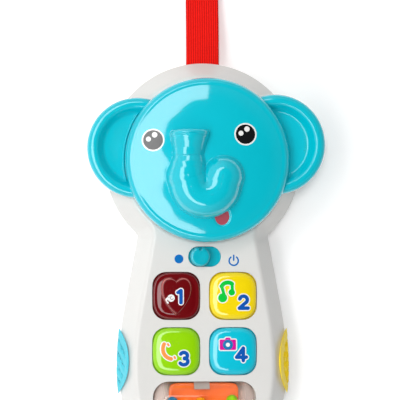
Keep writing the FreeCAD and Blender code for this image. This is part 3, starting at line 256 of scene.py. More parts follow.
def clear_polycarbonate(name):
    """Clear polycarbonate, moulded: transparent with a hard gloss and a slight milky haze."""
    material = new_material(name, linear("#EFE0D8"), 0.03, IOR=1.58, Transmission_Weight=1.0)
    tree, shader = shading(material)
    # The rounded ends are frosted, starting where the paddle stops.
    place = add_node(tree, "ShaderNodeTexCoord").outputs["Object"]
    along = add_node(tree, "ShaderNodeSeparateXYZ", {}, {0: place}).outputs["X"]
    away = add_node(tree, "ShaderNodeMath", {"operation": "ABSOLUTE"}, {0: along}).outputs["Value"]
    clear = add_node(tree, "ShaderNodeMapRange",
                     {"From Min": 17 * MM, "From Max": 20 * MM, "To Min": 1.0, "To Max": 0.66},
                     {"Value": away})
    tree.links.new(clear.outputs["Result"], shader.inputs["Transmission Weight"])
    # Light from the lamps passes straight through the thin walls.
    kind = add_node(tree, "ShaderNodeLightPath").outputs["Is Shadow Ray"]
    through = add_node(tree, "ShaderNodeBsdfTransparent", {"Color": linear("#FDFDFD")})
    both = add_node(tree, "ShaderNodeMixShader", {},
                    {0: kind, 1: shader.outputs["BSDF"], 2: through.outputs["BSDF"]})
    tree.links.new(both.outputs["Shader"], tree.nodes["Material Output"].inputs["Surface"])
    return textured(material, relief=(8, 0, 0.03), polish=(1.2, 3, 0.02, 0.05))


def pad_print(name, colour):
    """Pad-printed ink under the lacquer: a thin even film with the gloss of the part round it."""
    material = new_material(name, colour, 0.14, IOR=1.5, Coat_Weight=0.8, Coat_Roughness=0.06)
    return textured(material, relief=(0.3, 3, 0.006), tint=(1.5, 2, 0.03))


def plated_steel(name, code, roughness, stretch=(1, 1, 1)):
    """Plated steel: bright metal with fine drawing marks and a cloudy plating."""
    return textured(new_material(name, linear(code), roughness, Metallic=1.0), relief=(0.25, 3, 0.01),
                    tint=(2.5, 2, 0.08), polish=(0.25, 3, roughness * 0.75, roughness * 1.3), stretch=stretch)


def mirror_acrylic(name):
    """Acrylic sheet silvered on its back: near-perfect mirror, slightly wavy."""
    return textured(new_material(name, linear("#E4E8EA"), 0.02, Metallic=1.0), relief=(14, 0, 0.02),
                    polish=(2, 2, 0.012, 0.035))


# Distance between the strap's warp yarns in millimetres, and between the crests of a wave texture of
# scale 1 in metres.
YARN_PITCH = 1.1
WAVE_REPEAT = 0.314


def woven_webbing(name):
    """Polyester webbing, plain woven: thick weft ribs crossed by fine warp yarns."""
    material = new_material(name, colours().strap, 0.7, Sheen_Weight=0.05, Specular_IOR_Level=0.2,
                            Sheen_Tint=linear("#FF9A90"))
    tree, shader = shading(material)
    place = add_node(tree, "ShaderNodeTexCoord").outputs["Object"]
    yarns = add_node(tree, "ShaderNodeTexWave",
                     {"bands_direction": "X", "Scale": WAVE_REPEAT / (YARN_PITCH * MM), "Distortion": 0.6,
                      "Detail": 1.0}, {"Vector": place}).outputs["Fac"]
    fibre = object_noise(tree, 0.18, 3, (1, 0.3, 1))
    both = add_node(tree, "ShaderNodeMath", {"operation": "MULTIPLY_ADD", 1: 0.5}, {0: fibre, 2: yarns})
    add_bump(material, both.outputs["Value"], 0.12)
    # Painted shade: the colour darkens from the yarns' crowns into the valleys between them.
    depth = add_node(tree, "ShaderNodeMix",
                     {"data_type": "RGBA", 6: colours().strap_valley_painted_shade, 7: colours().strap}, {0: yarns})
    tree.links.new(depth.outputs[2], shader.inputs["Base Color"])
    return material


def solder_mask(name):
    """Glass-epoxy board under green solder mask, with the copper tracks showing through."""
    material = new_material(name, linear("#0E5A2C"), 0.3, IOR=1.52)
    tree, shader = shading(material)
    place = add_node(tree, "ShaderNodeTexCoord").outputs["Object"]
    tracks = add_node(tree, "ShaderNodeTexBrick",
                      {"Scale": 1 / (12 * MM), "Mortar Size": 0.03, "Color1": linear("#0E5A2C"),
                       "Color2": linear("#0B4C25"), "Mortar": linear("#2F8A4C")}, {"Vector": place})
    tree.links.new(tracks.outputs["Color"], shader.inputs["Base Color"])
    add_bump(material, tracks.outputs["Fac"], 0.03)
    return material


def dull_material(name, code, roughness, grain_mm, depth_mm):
    """A matt material with its own grain, such as paper, ferrite or rubber."""
    return textured(new_material(name, linear(code), roughness), relief=(grain_mm, 3, depth_mm),
                    tint=(grain_mm, 3, 0.08))


def cell_sleeve(name):
    """Shrunk PVC sleeve of a dry cell: dark with a lighter band at the positive end."""
    material = new_material(name, linear("#1C2B33"), 0.22, IOR=1.53)
    tree, shader = shading(material)
    place = add_node(tree, "ShaderNodeTexCoord").outputs["Generated"]
    along = add_node(tree, "ShaderNodeSeparateXYZ", {}, {0: place}).outputs["Y"]
    band = add_node(tree, "ShaderNodeMapRange", {"From Min": 0.27, "From Max": 0.29}, {"Value": along})
    mixed = add_node(tree, "ShaderNodeMix", {"data_type": "RGBA", 6: linear("#C9892B"), 7: linear("#1C2B33")},
                     {0: band.outputs["Result"]})
    tree.links.new(mixed.outputs[2], shader.inputs["Base Color"])
    return textured(material, relief=(1.2, 2, 0.02))


def lamp_epoxy(name):
    """Cast epoxy of a light-emitting diode: clear red with a soft haze."""
    return textured(new_material(name, linear("#E02A2A"), 0.1, IOR=1.55, Transmission_Weight=0.7),
                    relief=(1.5, 1, 0.01), polish=(0.6, 2, 0.06, 0.16))


FINISHES = {}
INKS = {"white": "#F4F4F2", "black": "#101214", "grey": "#8A6670", "green": "#00C83C", "orange": "#FF9A4E",
        "magenta": "#D8109A", "lens_blue": "#1478B4"}


def finish(make, name, *values):
    """A material made once and used wherever it is asked for."""
    if name not in FINISHES:
        FINISHES[name] = make(name, *values)
    return FINISHES[name]


def ink(name):
    """Ink of the small prints."""
    return finish(pad_print, "pad_print_" + name, linear(INKS[name]))


def white_abs():
    """Finish of the casing."""
    return finish(satin_abs, "white_abs_satin", colours().casing)


def cyan_abs():
    """Finish of the face and ears."""
    return finish(gloss_abs, "cyan_abs_gloss", colours().elephant)


# ---------------------------------------------------------------- mesh tools


def new_piece(name, points, faces, material, body, slot=None, replaces=(), sharp=40):
    """Make a mesh object from millimetre points and let it ride on a body."""
    mesh = bpy.data.meshes.new(name)
    mesh.from_pydata((np.asarray(points, float) * MM).tolist(), [], faces)
    return add_piece(name, mesh, material, body, slot, replaces, sharp)


def add_piece(name, mesh, material, body, slot=None, replaces=(), sharp=40):
    """Clean a mesh, link it as an object and let it ride on a body."""
    tidy = bmesh.new()
    tidy.from_mesh(mesh)
    bmesh.ops.remove_doubles(tidy, verts=tidy.verts, dist=1e-7)
    bmesh.ops.dissolve_degenerate(tidy, edges=tidy.edges, dist=1e-8)
    bmesh.ops.recalc_face_normals(tidy, faces=tidy.faces)
    tidy.to_mesh(mesh)
    tidy.free()
    mesh.materials.clear()
    mesh.materials.append(material)
    mesh.shade_smooth()
    mesh.set_sharp_from_angle(angle=math.radians(sharp))
    piece = bpy.data.objects.new(name, mesh)
    bpy.context.scene.collection.objects.link(piece)
    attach(piece, body)
    if replaces:
        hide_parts(*replaces)
    return piece


def loft(rings):
    """Points and faces of a skin over rings of equal count, its ends closed to their middles."""
    count = len(rings[0])
    rings = [np.asarray(ring, float) for ring in rings]
    points = np.concatenate(rings + [rings[0].mean(axis=0)[None], rings[-1].mean(axis=0)[None]])
    faces = []
    for level in range(len(rings) - 1):
        low, high = level * count, (level + 1) * count
        for step in range(count):
            after = (step + 1) % count
            faces.append((low + step, low + after, high + after, high + step))
    for start, middle in ((0, len(rings) * count), ((len(rings) - 1) * count, len(rings) * count + 1)):
        faces += [(start + step, start + (step + 1) % count, middle) for step in range(count)]
    return points, faces


def turns(count):
    """Angles once round, evenly spaced."""
    return np.linspace(0, 2 * math.pi, count, endpoint=False)


def places(x, y, z):
    """Points from their coordinates; a single number serves every point."""
    return np.stack(np.broadcast_arrays(x, y, z), axis=-1)


def circle(radius, z, count, x=0.0, y=0.0):
    """A level round ring."""
    return places(x + radius * np.cos(turns(count)), y + radius * np.sin(turns(count)), z)


def squircle(half_x, half_y, power, z, count, x=0.0, y=0.0):
    """A level ring between an ellipse and a rectangle; higher powers are squarer."""
    c, s = np.cos(turns(count)), np.sin(turns(count))
    reach = 1 / (np.abs(c / half_x) ** power + np.abs(s / half_y) ** power) ** (1 / power)
    return places(x + reach * c, y + reach * s, z)


def smooth_max(first, second, width):
    """The larger of two heights with a soft fillet where they cross."""
    near = np.maximum(width - np.abs(first - second), 0) / width
    return np.maximum(first, second) + near * near * width / 4


def ease(low, high, value):
    """Smooth step from 0 at low to 1 at high."""
    share = np.clip((value - low) / (high - low), 0, 1)
    return share * share * (3 - 2 * share)


def swing(x, y, z):
    """Points of the face, given from the face's centre, at the face's rest lean."""
    across = x + FACE_CENTRE.x - PIVOT.x
    upward = y + FACE_CENTRE.y - PIVOT.y
    c, s = math.cos(FACE_LEAN), math.sin(FACE_LEAN)
    return places(PIVOT.x + c * across - s * upward, PIVOT.y + s * across + c * upward, z)


# ---------------------------------------------------------------- stage and camera


def facing(aim):
    """Rotation whose Z axis is aim and whose Y axis leans to the head of the phone."""
    sideways = Vector((0, 1, 0)).cross(aim).normalized()
    return Matrix((sideways, aim.cross(sideways), aim)).transposed().to_euler()


# Middle of the view in millimetres, its width in metres, and the camera's lean across and along.
VIEW_MIDDLE = (-1.7, 26.5, 17)
VIEW_WIDTH = 0.1934
VIEW_LEAN = (math.radians(-3.6), math.radians(-1.8))
FLOOR_REACH = 3.0
# Strengths of the paper floor's own glow, of the lamp above in watts, and of the light panel.
FLOOR_GLOW = 0.12
LAMP_POWER = 6.0
PANEL_STRENGTH = 3.6
# The light panel's height and outer radius in metres.
PANEL_HEIGHT = 1.2
PANEL_RADIUS = 1.14


class TOYPHONE_OT_stage(bpy.types.Operator):
    """Camera above the phone, pale floor, a curved light panel on the left and a soft lamp above"""

    bl_idname = "toyphone.stage"
    bl_label = "Stage and camera"

    def execute(self, context):
        scene = context.scene
        distance = sizes().camera_distance
        aim = Vector((math.sin(VIEW_LEAN[0]), math.sin(VIEW_LEAN[1]), 1)).normalized()
        camera = bpy.data.cameras.new("camera")
        camera.sensor_width = 36
        camera.lens = camera.sensor_width * distance / VIEW_WIDTH
        camera.clip_start = 0.01
        eye = bpy.data.objects.new("camera", camera)
        scene.collection.objects.link(eye)
        eye.location = Vector(VIEW_MIDDLE) * MM + aim * distance
        eye.rotation_euler = facing(aim)
        scene.camera = eye
        scene.view_settings.view_transform = "Standard"
        self.add_floor(scene)
        self.add_lights(scene)
        return {"FINISHED"}

    def add_floor(self, scene):
        """A wide pale floor just under the phone."""
        corners = [(x * FLOOR_REACH, y * FLOOR_REACH, 0) for x, y in ((-1, -1), (1, -1), (1, 1), (-1, 1))]
        mesh = bpy.data.meshes.new("floor")
        mesh.from_pydata(corners, [], [(0, 1, 2, 3)])
        floor = bpy.data.objects.new("floor", mesh)
        # Matt paper sweep: even white with hardly any sheen.
        paper = new_material("matt_paper", colours().floor, 0.9, Specular_IOR_Level=0.1,
                             Emission_Color=(1, 1, 1, 1), Emission_Strength=FLOOR_GLOW)
        mesh.materials.append(textured(paper, relief=(3, 2, 0.02)))
        floor.location.z = -0.0002
        scene.collection.objects.link(floor)

    def add_lights(self, scene):
        """A curved light panel round the left, a soft key from above and a sky that is dim overhead."""
        self.add_panel(scene)
        lamp = bpy.data.lights.new("key_above", "AREA")
        lamp.shape = "DISK"
        lamp.size = 0.3
        lamp.energy = LAMP_POWER
        light = bpy.data.objects.new("key_above", lamp)
        light.location = (-0.06, 0.12, 1.28)
        light.rotation_euler = facing(light.location.normalized())
        light.visible_glossy = False
        scene.collection.objects.link(light)
        sky = bpy.data.worlds.new("sky")
        sky.use_nodes = True
        tree = sky.node_tree
        direction = add_node(tree, "ShaderNodeTexCoord").outputs["Generated"]
        parts = add_node(tree, "ShaderNodeSeparateXYZ", {}, {0: direction}).outputs
        upward = add_node(tree, "ShaderNodeMapRange",
                          {"From Min": 0.62, "From Max": 0.8, "To Min": 0.56, "To Max": 0.1},
                          {"Value": parts["Z"]})
        across = add_node(tree, "ShaderNodeMapRange",
                          {"From Min": -0.3, "From Max": 0.6, "To Min": 1.0, "To Max": 0.35},
                          {"Value": parts["X"]})
        strength = add_node(tree, "ShaderNodeMath", {"operation": "MULTIPLY"},
                            {0: upward.outputs["Result"], 1: across.outputs["Result"]})
        tree.links.new(strength.outputs["Value"], tree.nodes["Background"].inputs["Strength"])
        tree.nodes["Background"].inputs["Color"].default_value = (1, 1, 1, 1)
        scene.world = sky

    def add_panel(self, scene):
        """Crescent-shaped light panel over the left side, seen only in gloss and as light."""
        points, faces = [], []
        for step, turn in enumerate(np.radians(np.linspace(84, 274, 60))):
            c, s = math.cos(turn), math.sin(turn)
            inner = 0.37 + 0.3 * abs(turn - math.pi) + 0.018 * math.sin(12 * turn)
            points += [(radius * c, radius * s, PANEL_HEIGHT) for radius in (inner, PANEL_RADIUS)]
            if step:
                last = 2 * step
                faces.append((last - 2, last - 1, last + 1, last))
        mesh = bpy.data.meshes.new("light_panel")
        mesh.from_pydata(points, [], faces)
        glow = bpy.data.materials.new("light_panel")
        glow.use_nodes = True
        glow.node_tree.nodes.clear()
        emission = add_node(glow.node_tree, "ShaderNodeEmission",
                            {"Color": (1, 1, 1, 1), "Strength": PANEL_STRENGTH})
        add_node(glow.node_tree, "ShaderNodeOutputMaterial", {}, {"Surface": emission.outputs["Emission"]})
        mesh.materials.append(glow)
        panel = bpy.data.objects.new("light_panel", mesh)
        panel.location = FACE_CENTRE * MM
        panel.visible_camera = False
        panel.visible_shadow = False
        panel.visible_transmission = False
        scene.collection.objects.link(panel)


# ---------------------------------------------------------------- strap

# The strap's route from its sewn end out of the head to the surface, as y and z.
STRAP_ROUTE = ((89.9, 9.2), (108, 9.2), (143, 0.63), (201, 0.61), (240, 0.63))
STRAP_WIDTH = 16.0
STRAP_THICKNESS = 1.2
YARN_DEPTH = 0.035


def spline_points(route, samples):
    """Points in millimetres along the smooth line with the route as its control points."""
    curve = bpy.data.curves.new("route", "CURVE")
    curve.dimensions = "3D"
    spline = curve.splines.new("NURBS")
    spline.points.add(len(route) - 1)
    for control, place in zip(spline.points, route):
        control.co = (*(Vector(place) * MM), 1)
    spline.order_u = 3
    spline.use_endpoint_u = True
    spline.resolution_u = samples
    holder = bpy.data.objects.new("route", curve)
    bpy.context.scene.collection.objects.link(holder)
    bpy.context.view_layer.update()
    mesh = bpy.data.meshes.new_from_object(holder)
    points = [vertex.co / MM for vertex in mesh.vertices]
    bpy.data.objects.remove(holder)
    bpy.data.meshes.remove(mesh)
    return points


def even_steps(points, spacing):
    """The same line with points a fixed distance apart."""
    lengths = [0.0]
    for start, end in zip(points, points[1:]):
        lengths.append(lengths[-1] + (end - start).length)
    count = max(2, round(lengths[-1] / spacing))
    stations = np.linspace(0, lengths[-1], count + 1)
    columns = [np.interp(stations, lengths, [point[axis] for point in points]) for axis in range(3)]
    return [Vector(place) for place in zip(*columns)], stations


class TOYPHONE_OT_strap(bpy.types.Operator):
    """Woven webbing strap with weft ribs and rounded edges"""

    bl_idname = "toyphone.strap"
    bl_label = "Strap"

    def execute(self, context):
        route = [(0, y, z) for y, z in STRAP_ROUTE]
        points, stations = even_steps(spline_points(route, 40), 0.2)
        pitch = sizes().rib_pitch / MM
        rings = []
        last = len(points) - 1
        for index, point in enumerate(points):
            along = (points[min(index + 1, last)] - points[max(index - 1, 0)]).normalized()
            up = Vector((1, 0, 0)).cross(along).normalized()
            rib = abs(math.sin(math.pi * stations[index] / pitch))
            rings.append(self.section(point, up, rib))
        webbing = finish(woven_webbing, "woven_polyester_red")
        strap = new_piece("strap", *loft(rings), webbing, "phone", "red_webbing", ("strap",), sharp=60)
        return {"FINISHED"}

    def section(self, point, up, rib):
        """Cross-section of the webbing: ribbed middle, rounded selvedges."""
        half_width = STRAP_WIDTH / 2
        ring = []
        columns = 34
        for side in (1, -1):
            for column in range(columns + 1):
                share = -1 + 2 * column / columns
                x = -share * half_width * side
                edge = max(0.0, (abs(share) - 0.9) / 0.1)
                thick = STRAP_THICKNESS / 2 * (0.78 + 0.22 * rib)
                thick *= math.sqrt(max(0.0, 1 - edge ** 3)) if edge else 1
                yarn = YARN_DEPTH * (math.cos(2 * math.pi * x / YARN_PITCH) - 1)
                ring.append(point + Vector((x, 0, 0)) + up * side * max(0.02, thick + yarn))
        return ring


# ---------------------------------------------------------------- elephant face

DOME_EDGE_RADIUS = 35.5
FACE_RADIUS = 39.2
FACE_RIM_Z = 32.5
DOME_WALL = 2.0

# Upright arm of the trunk from low to high: y, middle, half width, height of its centre line.
TRUNK_ARM = np.array((
    (-8.0, -10.1, 8.8, 39.7), (-4.0, -10.0, 8.8, 39.8), (-1.0, -9.7, 8.3, 39.8), (1.7, -9.4, 7.4, 39.7),
    (2.5, -9.35, 7.4, 39.9), (5.5, -9.1, 7.9, 40.2), (8.5, -8.9, 8.6, 40.6), (11.5, -8.6, 9.35, 40.9),
    (12.8, -8.55, 9.4, 40.9), (13.5, -8.5, 9.0, 40.7), (13.9, -8.5, 8.0, 40.2),
))
TRUNK_FLATNESS = 0.93
TRUNK_FOOT_Y = -7.6
TRUNK_COLLAR_Y = 1.7
TRUNK_LIP_Y = 12.0
TRUNK_BEND_CENTRE = (-1.7, -10.8)
TRUNK_BEND_RADIUS = 7.3
TRUNK_BEND_TUBE = 10.1
TRUNK_TIP = (6.7, -8.3)
TRUNK_BEND_Z = 38.8
MOUTH_CENTRE = (5.9, -27.3)
MOUTH_SIZE = (3.75, 4.4)
MOUTH_DEPTH = 0.7


def dome_height(x, y):
    """Height of the plain dome at places given from the face's centre."""
    top, edge = sizes().dome_top / MM, sizes().dome_edge / MM
    drop = top - edge
    radius = (DOME_EDGE_RADIUS ** 2 + drop ** 2) / (2 * drop)
    away = np.minimum(np.hypot(x, y), DOME_EDGE_RADIUS)
    return top - radius + np.sqrt(radius ** 2 - away ** 2)


def trunk_path():
    """Centres of the trunk's curl, from the foot of the upright arm round to the tip."""
    bend = arc_line(*TRUNK_BEND_CENTRE, TRUNK_BEND_RADIUS, 180, 360, 41)
    end_x, end_y = bend[-1]
    rise = [(end_x + (TRUNK_TIP[0] - end_x) * share, end_y + (TRUNK_TIP[1] - end_y) * share)
            for share in np.linspace(0.2, 1, 5)]
    return [(TRUNK_ARM[0, 1], TRUNK_ARM[0, 0])] + bend + rise


def trunk_height(x, y):
    """Height of the trunk, or zero beside it."""
    middle, half, level = (np.interp(y, TRUNK_ARM[:, 0], TRUNK_ARM[:, column]) for column in (1, 2, 3))
    below = np.minimum(y - TRUNK_FOOT_Y, 0)
    inside = np.clip(1 - ((x - middle) / half) ** 2 - (below / half) ** 2, 0, 1)
    within = (inside > 0) & (y < TRUNK_ARM[-1, 0])
    collar = 0.35 * ease(TRUNK_COLLAR_Y, TRUNK_COLLAR_Y + 0.5, y)
    lip_y = TRUNK_LIP_Y - 0.02 * (x - TRUNK_ARM[-1, 1]) ** 2
    lip = 0.8 * np.exp(-(((y - lip_y) / 0.45) ** 2)) * inside
    arm = np.where(within, level + half * np.sqrt(inside) * TRUNK_FLATNESS + collar - lip, 0)
    curl = np.zeros_like(arm)
    for centre_x, centre_y in trunk_path():
        gap = TRUNK_BEND_TUBE ** 2 - (x - centre_x) ** 2 - (y - centre_y) ** 2
        height = TRUNK_BEND_Z + np.sqrt(np.maximum(gap, 0)) * TRUNK_FLATNESS
        curl = np.maximum(curl, np.where(gap > 0, height, 0))
    return smooth_max(arm, curl, 1.5)


def face_height(x, y):
    """Height of the finished face: dome, trunk with a soft root, and the mouth's dent."""
    away = np.hypot((x - MOUTH_CENTRE[0]) / MOUTH_SIZE[0], (y - MOUTH_CENTRE[1]) / MOUTH_SIZE[1])
    dent = MOUTH_DEPTH * (1 - ease(0.92, 1.12, away))
    return smooth_max(dome_height(x, y) - dent, trunk_height(x, y), 1.3)


class TOYPHONE_OT_face(bpy.types.Operator):
    """Glossy elephant dome with its rim, curled trunk and mouth dent"""

    bl_idname = "toyphone.face"
    bl_label = "Elephant face"

    def execute(self, context):
        around = turns(420)
        c, s = np.cos(around), np.sin(around)
        low_z = FACE_PLATE_Z + 2
        rings = [swing(radius * c, radius * s, face_height(radius * c, radius * s))
                 for radius in np.linspace(0.15, DOME_EDGE_RADIUS, 142)]
        edge_z = sizes().dome_edge / MM
        side = [(DOME_EDGE_RADIUS + (FACE_RADIUS - DOME_EDGE_RADIUS) * math.sin(turn),
                 FACE_RIM_Z + (edge_z - FACE_RIM_Z) * math.cos(turn))
                for turn in np.radians(np.linspace(14, 90, 12))]
        side += [(FACE_RADIUS, low_z + 0.25), (FACE_RADIUS - 0.25, low_z), (FACE_RADIUS - DOME_WALL, low_z),
                 (FACE_RADIUS - DOME_WALL, FACE_RIM_Z - 1), (DOME_EDGE_RADIUS - DOME_WALL, edge_z - 3),
                 (20.0, 37.5), (0.3, 38.4)]
        rings += [swing(radius * c, radius * s, height) for radius, height in side]
        new_piece("face_dome", *loft(rings), cyan_abs(), "face", "cyan_abs", ("face_cover",), sharp=50)
        return {"FINISHED"}


# ---------------------------------------------------------------- ears

EAR_CENTRE = (33.1, 6.7)
EAR_RADIUS = 24.0
EAR_CROWN = (20.2, 32.0, 3.8)
EAR_BOWL_Z = 27.9
EAR_BOWL_SLOPE = 5.0
EAR_CROWN_RISE = 3.4
EAR_LIP_RADIUS = 39.9


def ear_profile():
    """Half section of an ear from its underside over the crowned rim into the sunken middle."""
    low = FACE_PLATE_Z
    crown_radius, crown_z, half = EAR_CROWN
    profile = [(1.0, low), (EAR_RADIUS - 1.2, low), (EAR_RADIUS - 0.35, low + 0.35), (EAR_RADIUS, low + 1.2)]
    for turn in np.linspace(0, math.pi / 2, 10):
        rise = EAR_CROWN_RISE * (math.sin(turn) ** 0.8 - 1)
        profile.append((crown_radius + half * math.cos(turn), crown_z + rise))
    for share in np.linspace(0.08, 1, 14):
        fall = (1 - math.cos(math.pi * share)) / 2
        profile.append((crown_radius - EAR_BOWL_SLOPE * share, crown_z + (EAR_BOWL_Z - crown_z) * fall))
    return profile + [(12.0, EAR_BOWL_Z), (6.0, EAR_BOWL_Z), (1.0, EAR_BOWL_Z)]


class TOYPHONE_OT_ears(bpy.types.Operator):
    """Both ears with their crowned rims, on the drilled back plate of the face"""

    bl_idname = "toyphone.ears"
    bl_label = "Ears"

    def execute(self, context):
        around = turns(160)
        for name, side in (("left", -1), ("right", 1)):
            middle_x, middle_y = side * EAR_CENTRE[0], EAR_CENTRE[1]
            rings = [swing(middle_x + radius * np.cos(around), middle_y + radius * np.sin(around), height)
                     for radius, height in ear_profile()]
            new_piece(f"ear_{name}", *loft(rings), cyan_abs(), "face", "cyan_abs", ("ear_plate",), sharp=50)
            self.lip(name, side)
        self.back_plate()
        return {"FINISHED"}

    def lip(self, name, side):
        """Thin raised line on the ear along the foot of the dome."""
        reach = math.hypot(*EAR_CENTRE)
        lean = math.atan2(EAR_CENTRE[1], side * EAR_CENTRE[0])
        inner = EAR_CROWN[0] - EAR_CROWN[2]
        across = reach ** 2 + EAR_LIP_RADIUS ** 2 - (inner + 1) ** 2
        half_arc = math.acos(across / (2 * reach * EAR_LIP_RADIUS))
        rings = []
        for turn in np.linspace(lean - half_arc, lean + half_arc, 60):
            section = turns(12)
            radius = EAR_LIP_RADIUS + 0.5 * np.cos(section)
            height = EAR_BOWL_Z + 0.1 + 1.1 * np.sin(section)
            rings.append(swing(radius * math.cos(turn), radius * math.sin(turn), height))
        new_piece(f"ear_{name}_lip", *loft(rings), cyan_abs(), "face", "cyan_abs")

    def back_plate(self):
        """Flat round plate behind the dome, with the pivot's bore and three screw wells."""
        holes = [(0.0, PIVOT.y - FACE_CENTRE.y, 3.08)]
        holes += [(28 * math.cos(math.radians(angle)), 28 * math.sin(math.radians(angle)), 2.7)
                  for angle in (30, 150, 270)]

        def outline(x, y):
            plate = np.hypot(x, y) - (FACE_RADIUS - 0.4)
            for hole_x, hole_y, radius in holes:
                plate = np.maximum(plate, radius - np.hypot(x - hole_x, y - hole_y))
            return plate

        def level(x, y):
            return swing(x, y, FACE_PLATE_Z + 1.9)

        printed("face_plate", outline, (FACE_RADIUS, FACE_RADIUS), (0, 0), level, cyan_abs(), "face", 0.1,
                cell=0.8, slot="cyan_abs", depth=-1.9)


# ---------------------------------------------------------------- prints and plates from outlines


def printed(name, outline, reach, middle, surface, material, body, lift, cell=0.22, slot=None, depth=-0.15):
    """Cut a thin plate where outline(x, y) is below zero and lay it on a surface.

    Its top stands lift above the surface and its underside sits depth from it.
    """
    across = np.arange(middle[0] - reach[0] - cell, middle[0] + reach[0] + cell, cell)
    upward = np.arange(middle[1] - reach[1] - cell, middle[1] + reach[1] + cell, cell)
    grid_x, grid_y = np.meshgrid(across, upward, indexing="ij")
    value = outline(grid_x, grid_y)
    points, faces, known = [], [], {}

    def point_at(key, place):
        if key not in known:
            known[key] = len(points)
            points.append(place)
        return known[key]

    for i in range(len(across) - 1):
        for j in range(len(upward) - 1):
            corners = ((i, j), (i + 1, j), (i + 1, j + 1), (i, j + 1))
            if min(value[corner] for corner in corners) >= 0:
                continue
            face = []
            for here, after in zip(corners, corners[1:] + corners[:1]):
                if value[here] < 0:
                    face.append(point_at(here, (across[here[0]], upward[here[1]])))
                if (value[here] < 0) != (value[after] < 0):
                    share = value[here] / (value[here] - value[after])
                    place = (across[here[0]] + (across[after[0]] - across[here[0]]) * share,
                             upward[here[1]] + (upward[after[1]] - upward[here[1]]) * share)
                    face.append(point_at(tuple(sorted((here, after))), place))
            if len(face) > 2:
                faces.append(tuple(face))
    flat = np.array(points)
    ground = surface(flat[:, 0], flat[:, 1])
    top = ground + np.array((0, 0, lift))
    low = ground + np.array((0, 0, depth))
    count = len(points)
    sides = boundary_walls(faces, count)
    under = [tuple(index + count for index in reversed(face)) for face in faces]
    return new_piece(name, np.concatenate((top, low)), faces + under + sides, material, body, slot, sharp=60)


def boundary_walls(faces, count):
    """Walls between a plate's top outline and the same outline count points later."""
    edges = {}
    for face in faces:
        for here, after in zip(face, face[1:] + face[:1]):
            edges[(here, after)] = True
    return [(here, here + count, after + count, after) for here, after in edges if (after, here) not in edges]


def disc(x0, y0, radius):
    """Outline of a disc."""
    return lambda x, y: np.hypot(x - x0, y - y0) - radius


def strokes(lines, width):
    """Outline of round-ended pen strokes along polylines."""

    def outline(x, y):
        nearest = np.full_like(x, 99.0)
        for line in lines:
            for (ax, ay), (bx, by) in zip(line, line[1:]):
                length = max((bx - ax) ** 2 + (by - ay) ** 2, 1e-9)
                share = np.clip(((x - ax) * (bx - ax) + (y - ay) * (by - ay)) / length, 0, 1)
                away = np.hypot(x - ax - share * (bx - ax), y - ay - share * (by - ay))
                nearest = np.minimum(nearest, away)
        return nearest - width / 2

    return outline


def joined(*outlines):
    """Outline of several shapes together."""
    return lambda x, y: np.minimum.reduce([outline(x, y) for outline in outlines])


def cut_from(outline, hole):
    """Outline of a shape with another taken away."""
    return lambda x, y: np.maximum(outline(x, y), -hole(x, y))


def widened(outline, margin):
    """Outline a margin larger all round."""
    return lambda x, y: outline(x, y) - margin


def rounded_box(x0, y0, half_x, half_y, radius):
    """Outline of a rectangle with round corners."""

    def outline(x, y):
        out_x = np.abs(x - x0) - half_x + radius
        out_y = np.abs(y - y0) - half_y + radius
        outside = np.hypot(np.maximum(out_x, 0), np.maximum(out_y, 0))
        return outside + np.minimum(np.maximum(out_x, out_y), 0) - radius

    return outline


def arc_line(x0, y0, radius, start, end, steps=16):
    """Points along an arc, angles in degrees; a radius may be one number or one per axis."""
    radius_x, radius_y = radius if isinstance(radius, tuple) else (radius, radius)
    return [(x0 + radius_x * math.cos(math.radians(turn)), y0 + radius_y * math.sin(math.radians(turn)))
            for turn in np.linspace(start, end, steps)]


def on_face(x, y):
    """Surface of the elephant's face."""
    return swing(x, y, face_height(x, y))


EYES = (("left", -25.9, 9.7), ("right", 17.9, 11.3))


class TOYPHONE_OT_eyes(bpy.types.Operator):
    """Printed eyes with their highlights, and the painted mouth"""

    bl_idname = "toyphone.eyes"
    bl_label = "Eyes and mouth"

    def execute(self, context):
        white, black = ink("white"), ink("black")
        ring, pupil = sizes().eye_radius / MM, sizes().pupil_radius / MM
        for side, x, y in EYES:
            for part, dx, dy, radius, colour, lift in (
                ("ring", 0, 0, ring, white, 0.02), ("pupil", 0, 0, pupil, black, 0.045),
                ("glint_low", -2.15, 0.5, 1.2, white, 0.07), ("glint_high", 0.8, 2.45, 1.3, white, 0.07),
            ):
                middle = (x + dx, y + dy)
                printed(f"eye_{side}_{part}", disc(*middle, radius), (radius, radius), middle, on_face,
                        colour, "face", lift, cell=0.4)
        tongue = finish(pad_print, "sprayed_paint_rose", colours().tongue)
        mouth_x, mouth_y = MOUTH_CENTRE

        def outline(x, y):
            return np.hypot((x - mouth_x) / MOUTH_SIZE[0], (y - mouth_y) / MOUTH_SIZE[1]) - 0.92

        def dented(x, y):
            return swing(x, y, dome_height(x, y) - MOUTH_DEPTH)

        printed("mouth", outline, MOUTH_SIZE, MOUTH_CENTRE, dented, tongue, "face", 0.04)
        return {"FINISHED"}


# ---------------------------------------------------------------- keys

KEY_HALF = 11.25
KEY_POWER = 3.1
KEY_SHOULDER_Z = 24.7
KEY_FLANGE = (12.25, 20.6, 22.4)
KEY_STEM = (2.8, 18.4)
HEART_HEIGHT = 0.8


def key_middle(name):
    """Middle of a key in plan, in millimetres."""
    middle = node_middle(name)
    return middle.x, middle.y


def heart_measure(x, y):
    """Below zero inside a heart about 14 mm wide."""
    across, upward = x / 6.6, (y + 1.2) / 7.4
    return (across ** 2 + (upward - 0.62 * np.abs(across) ** 0.8) ** 2) ** 0.5 - 1.05


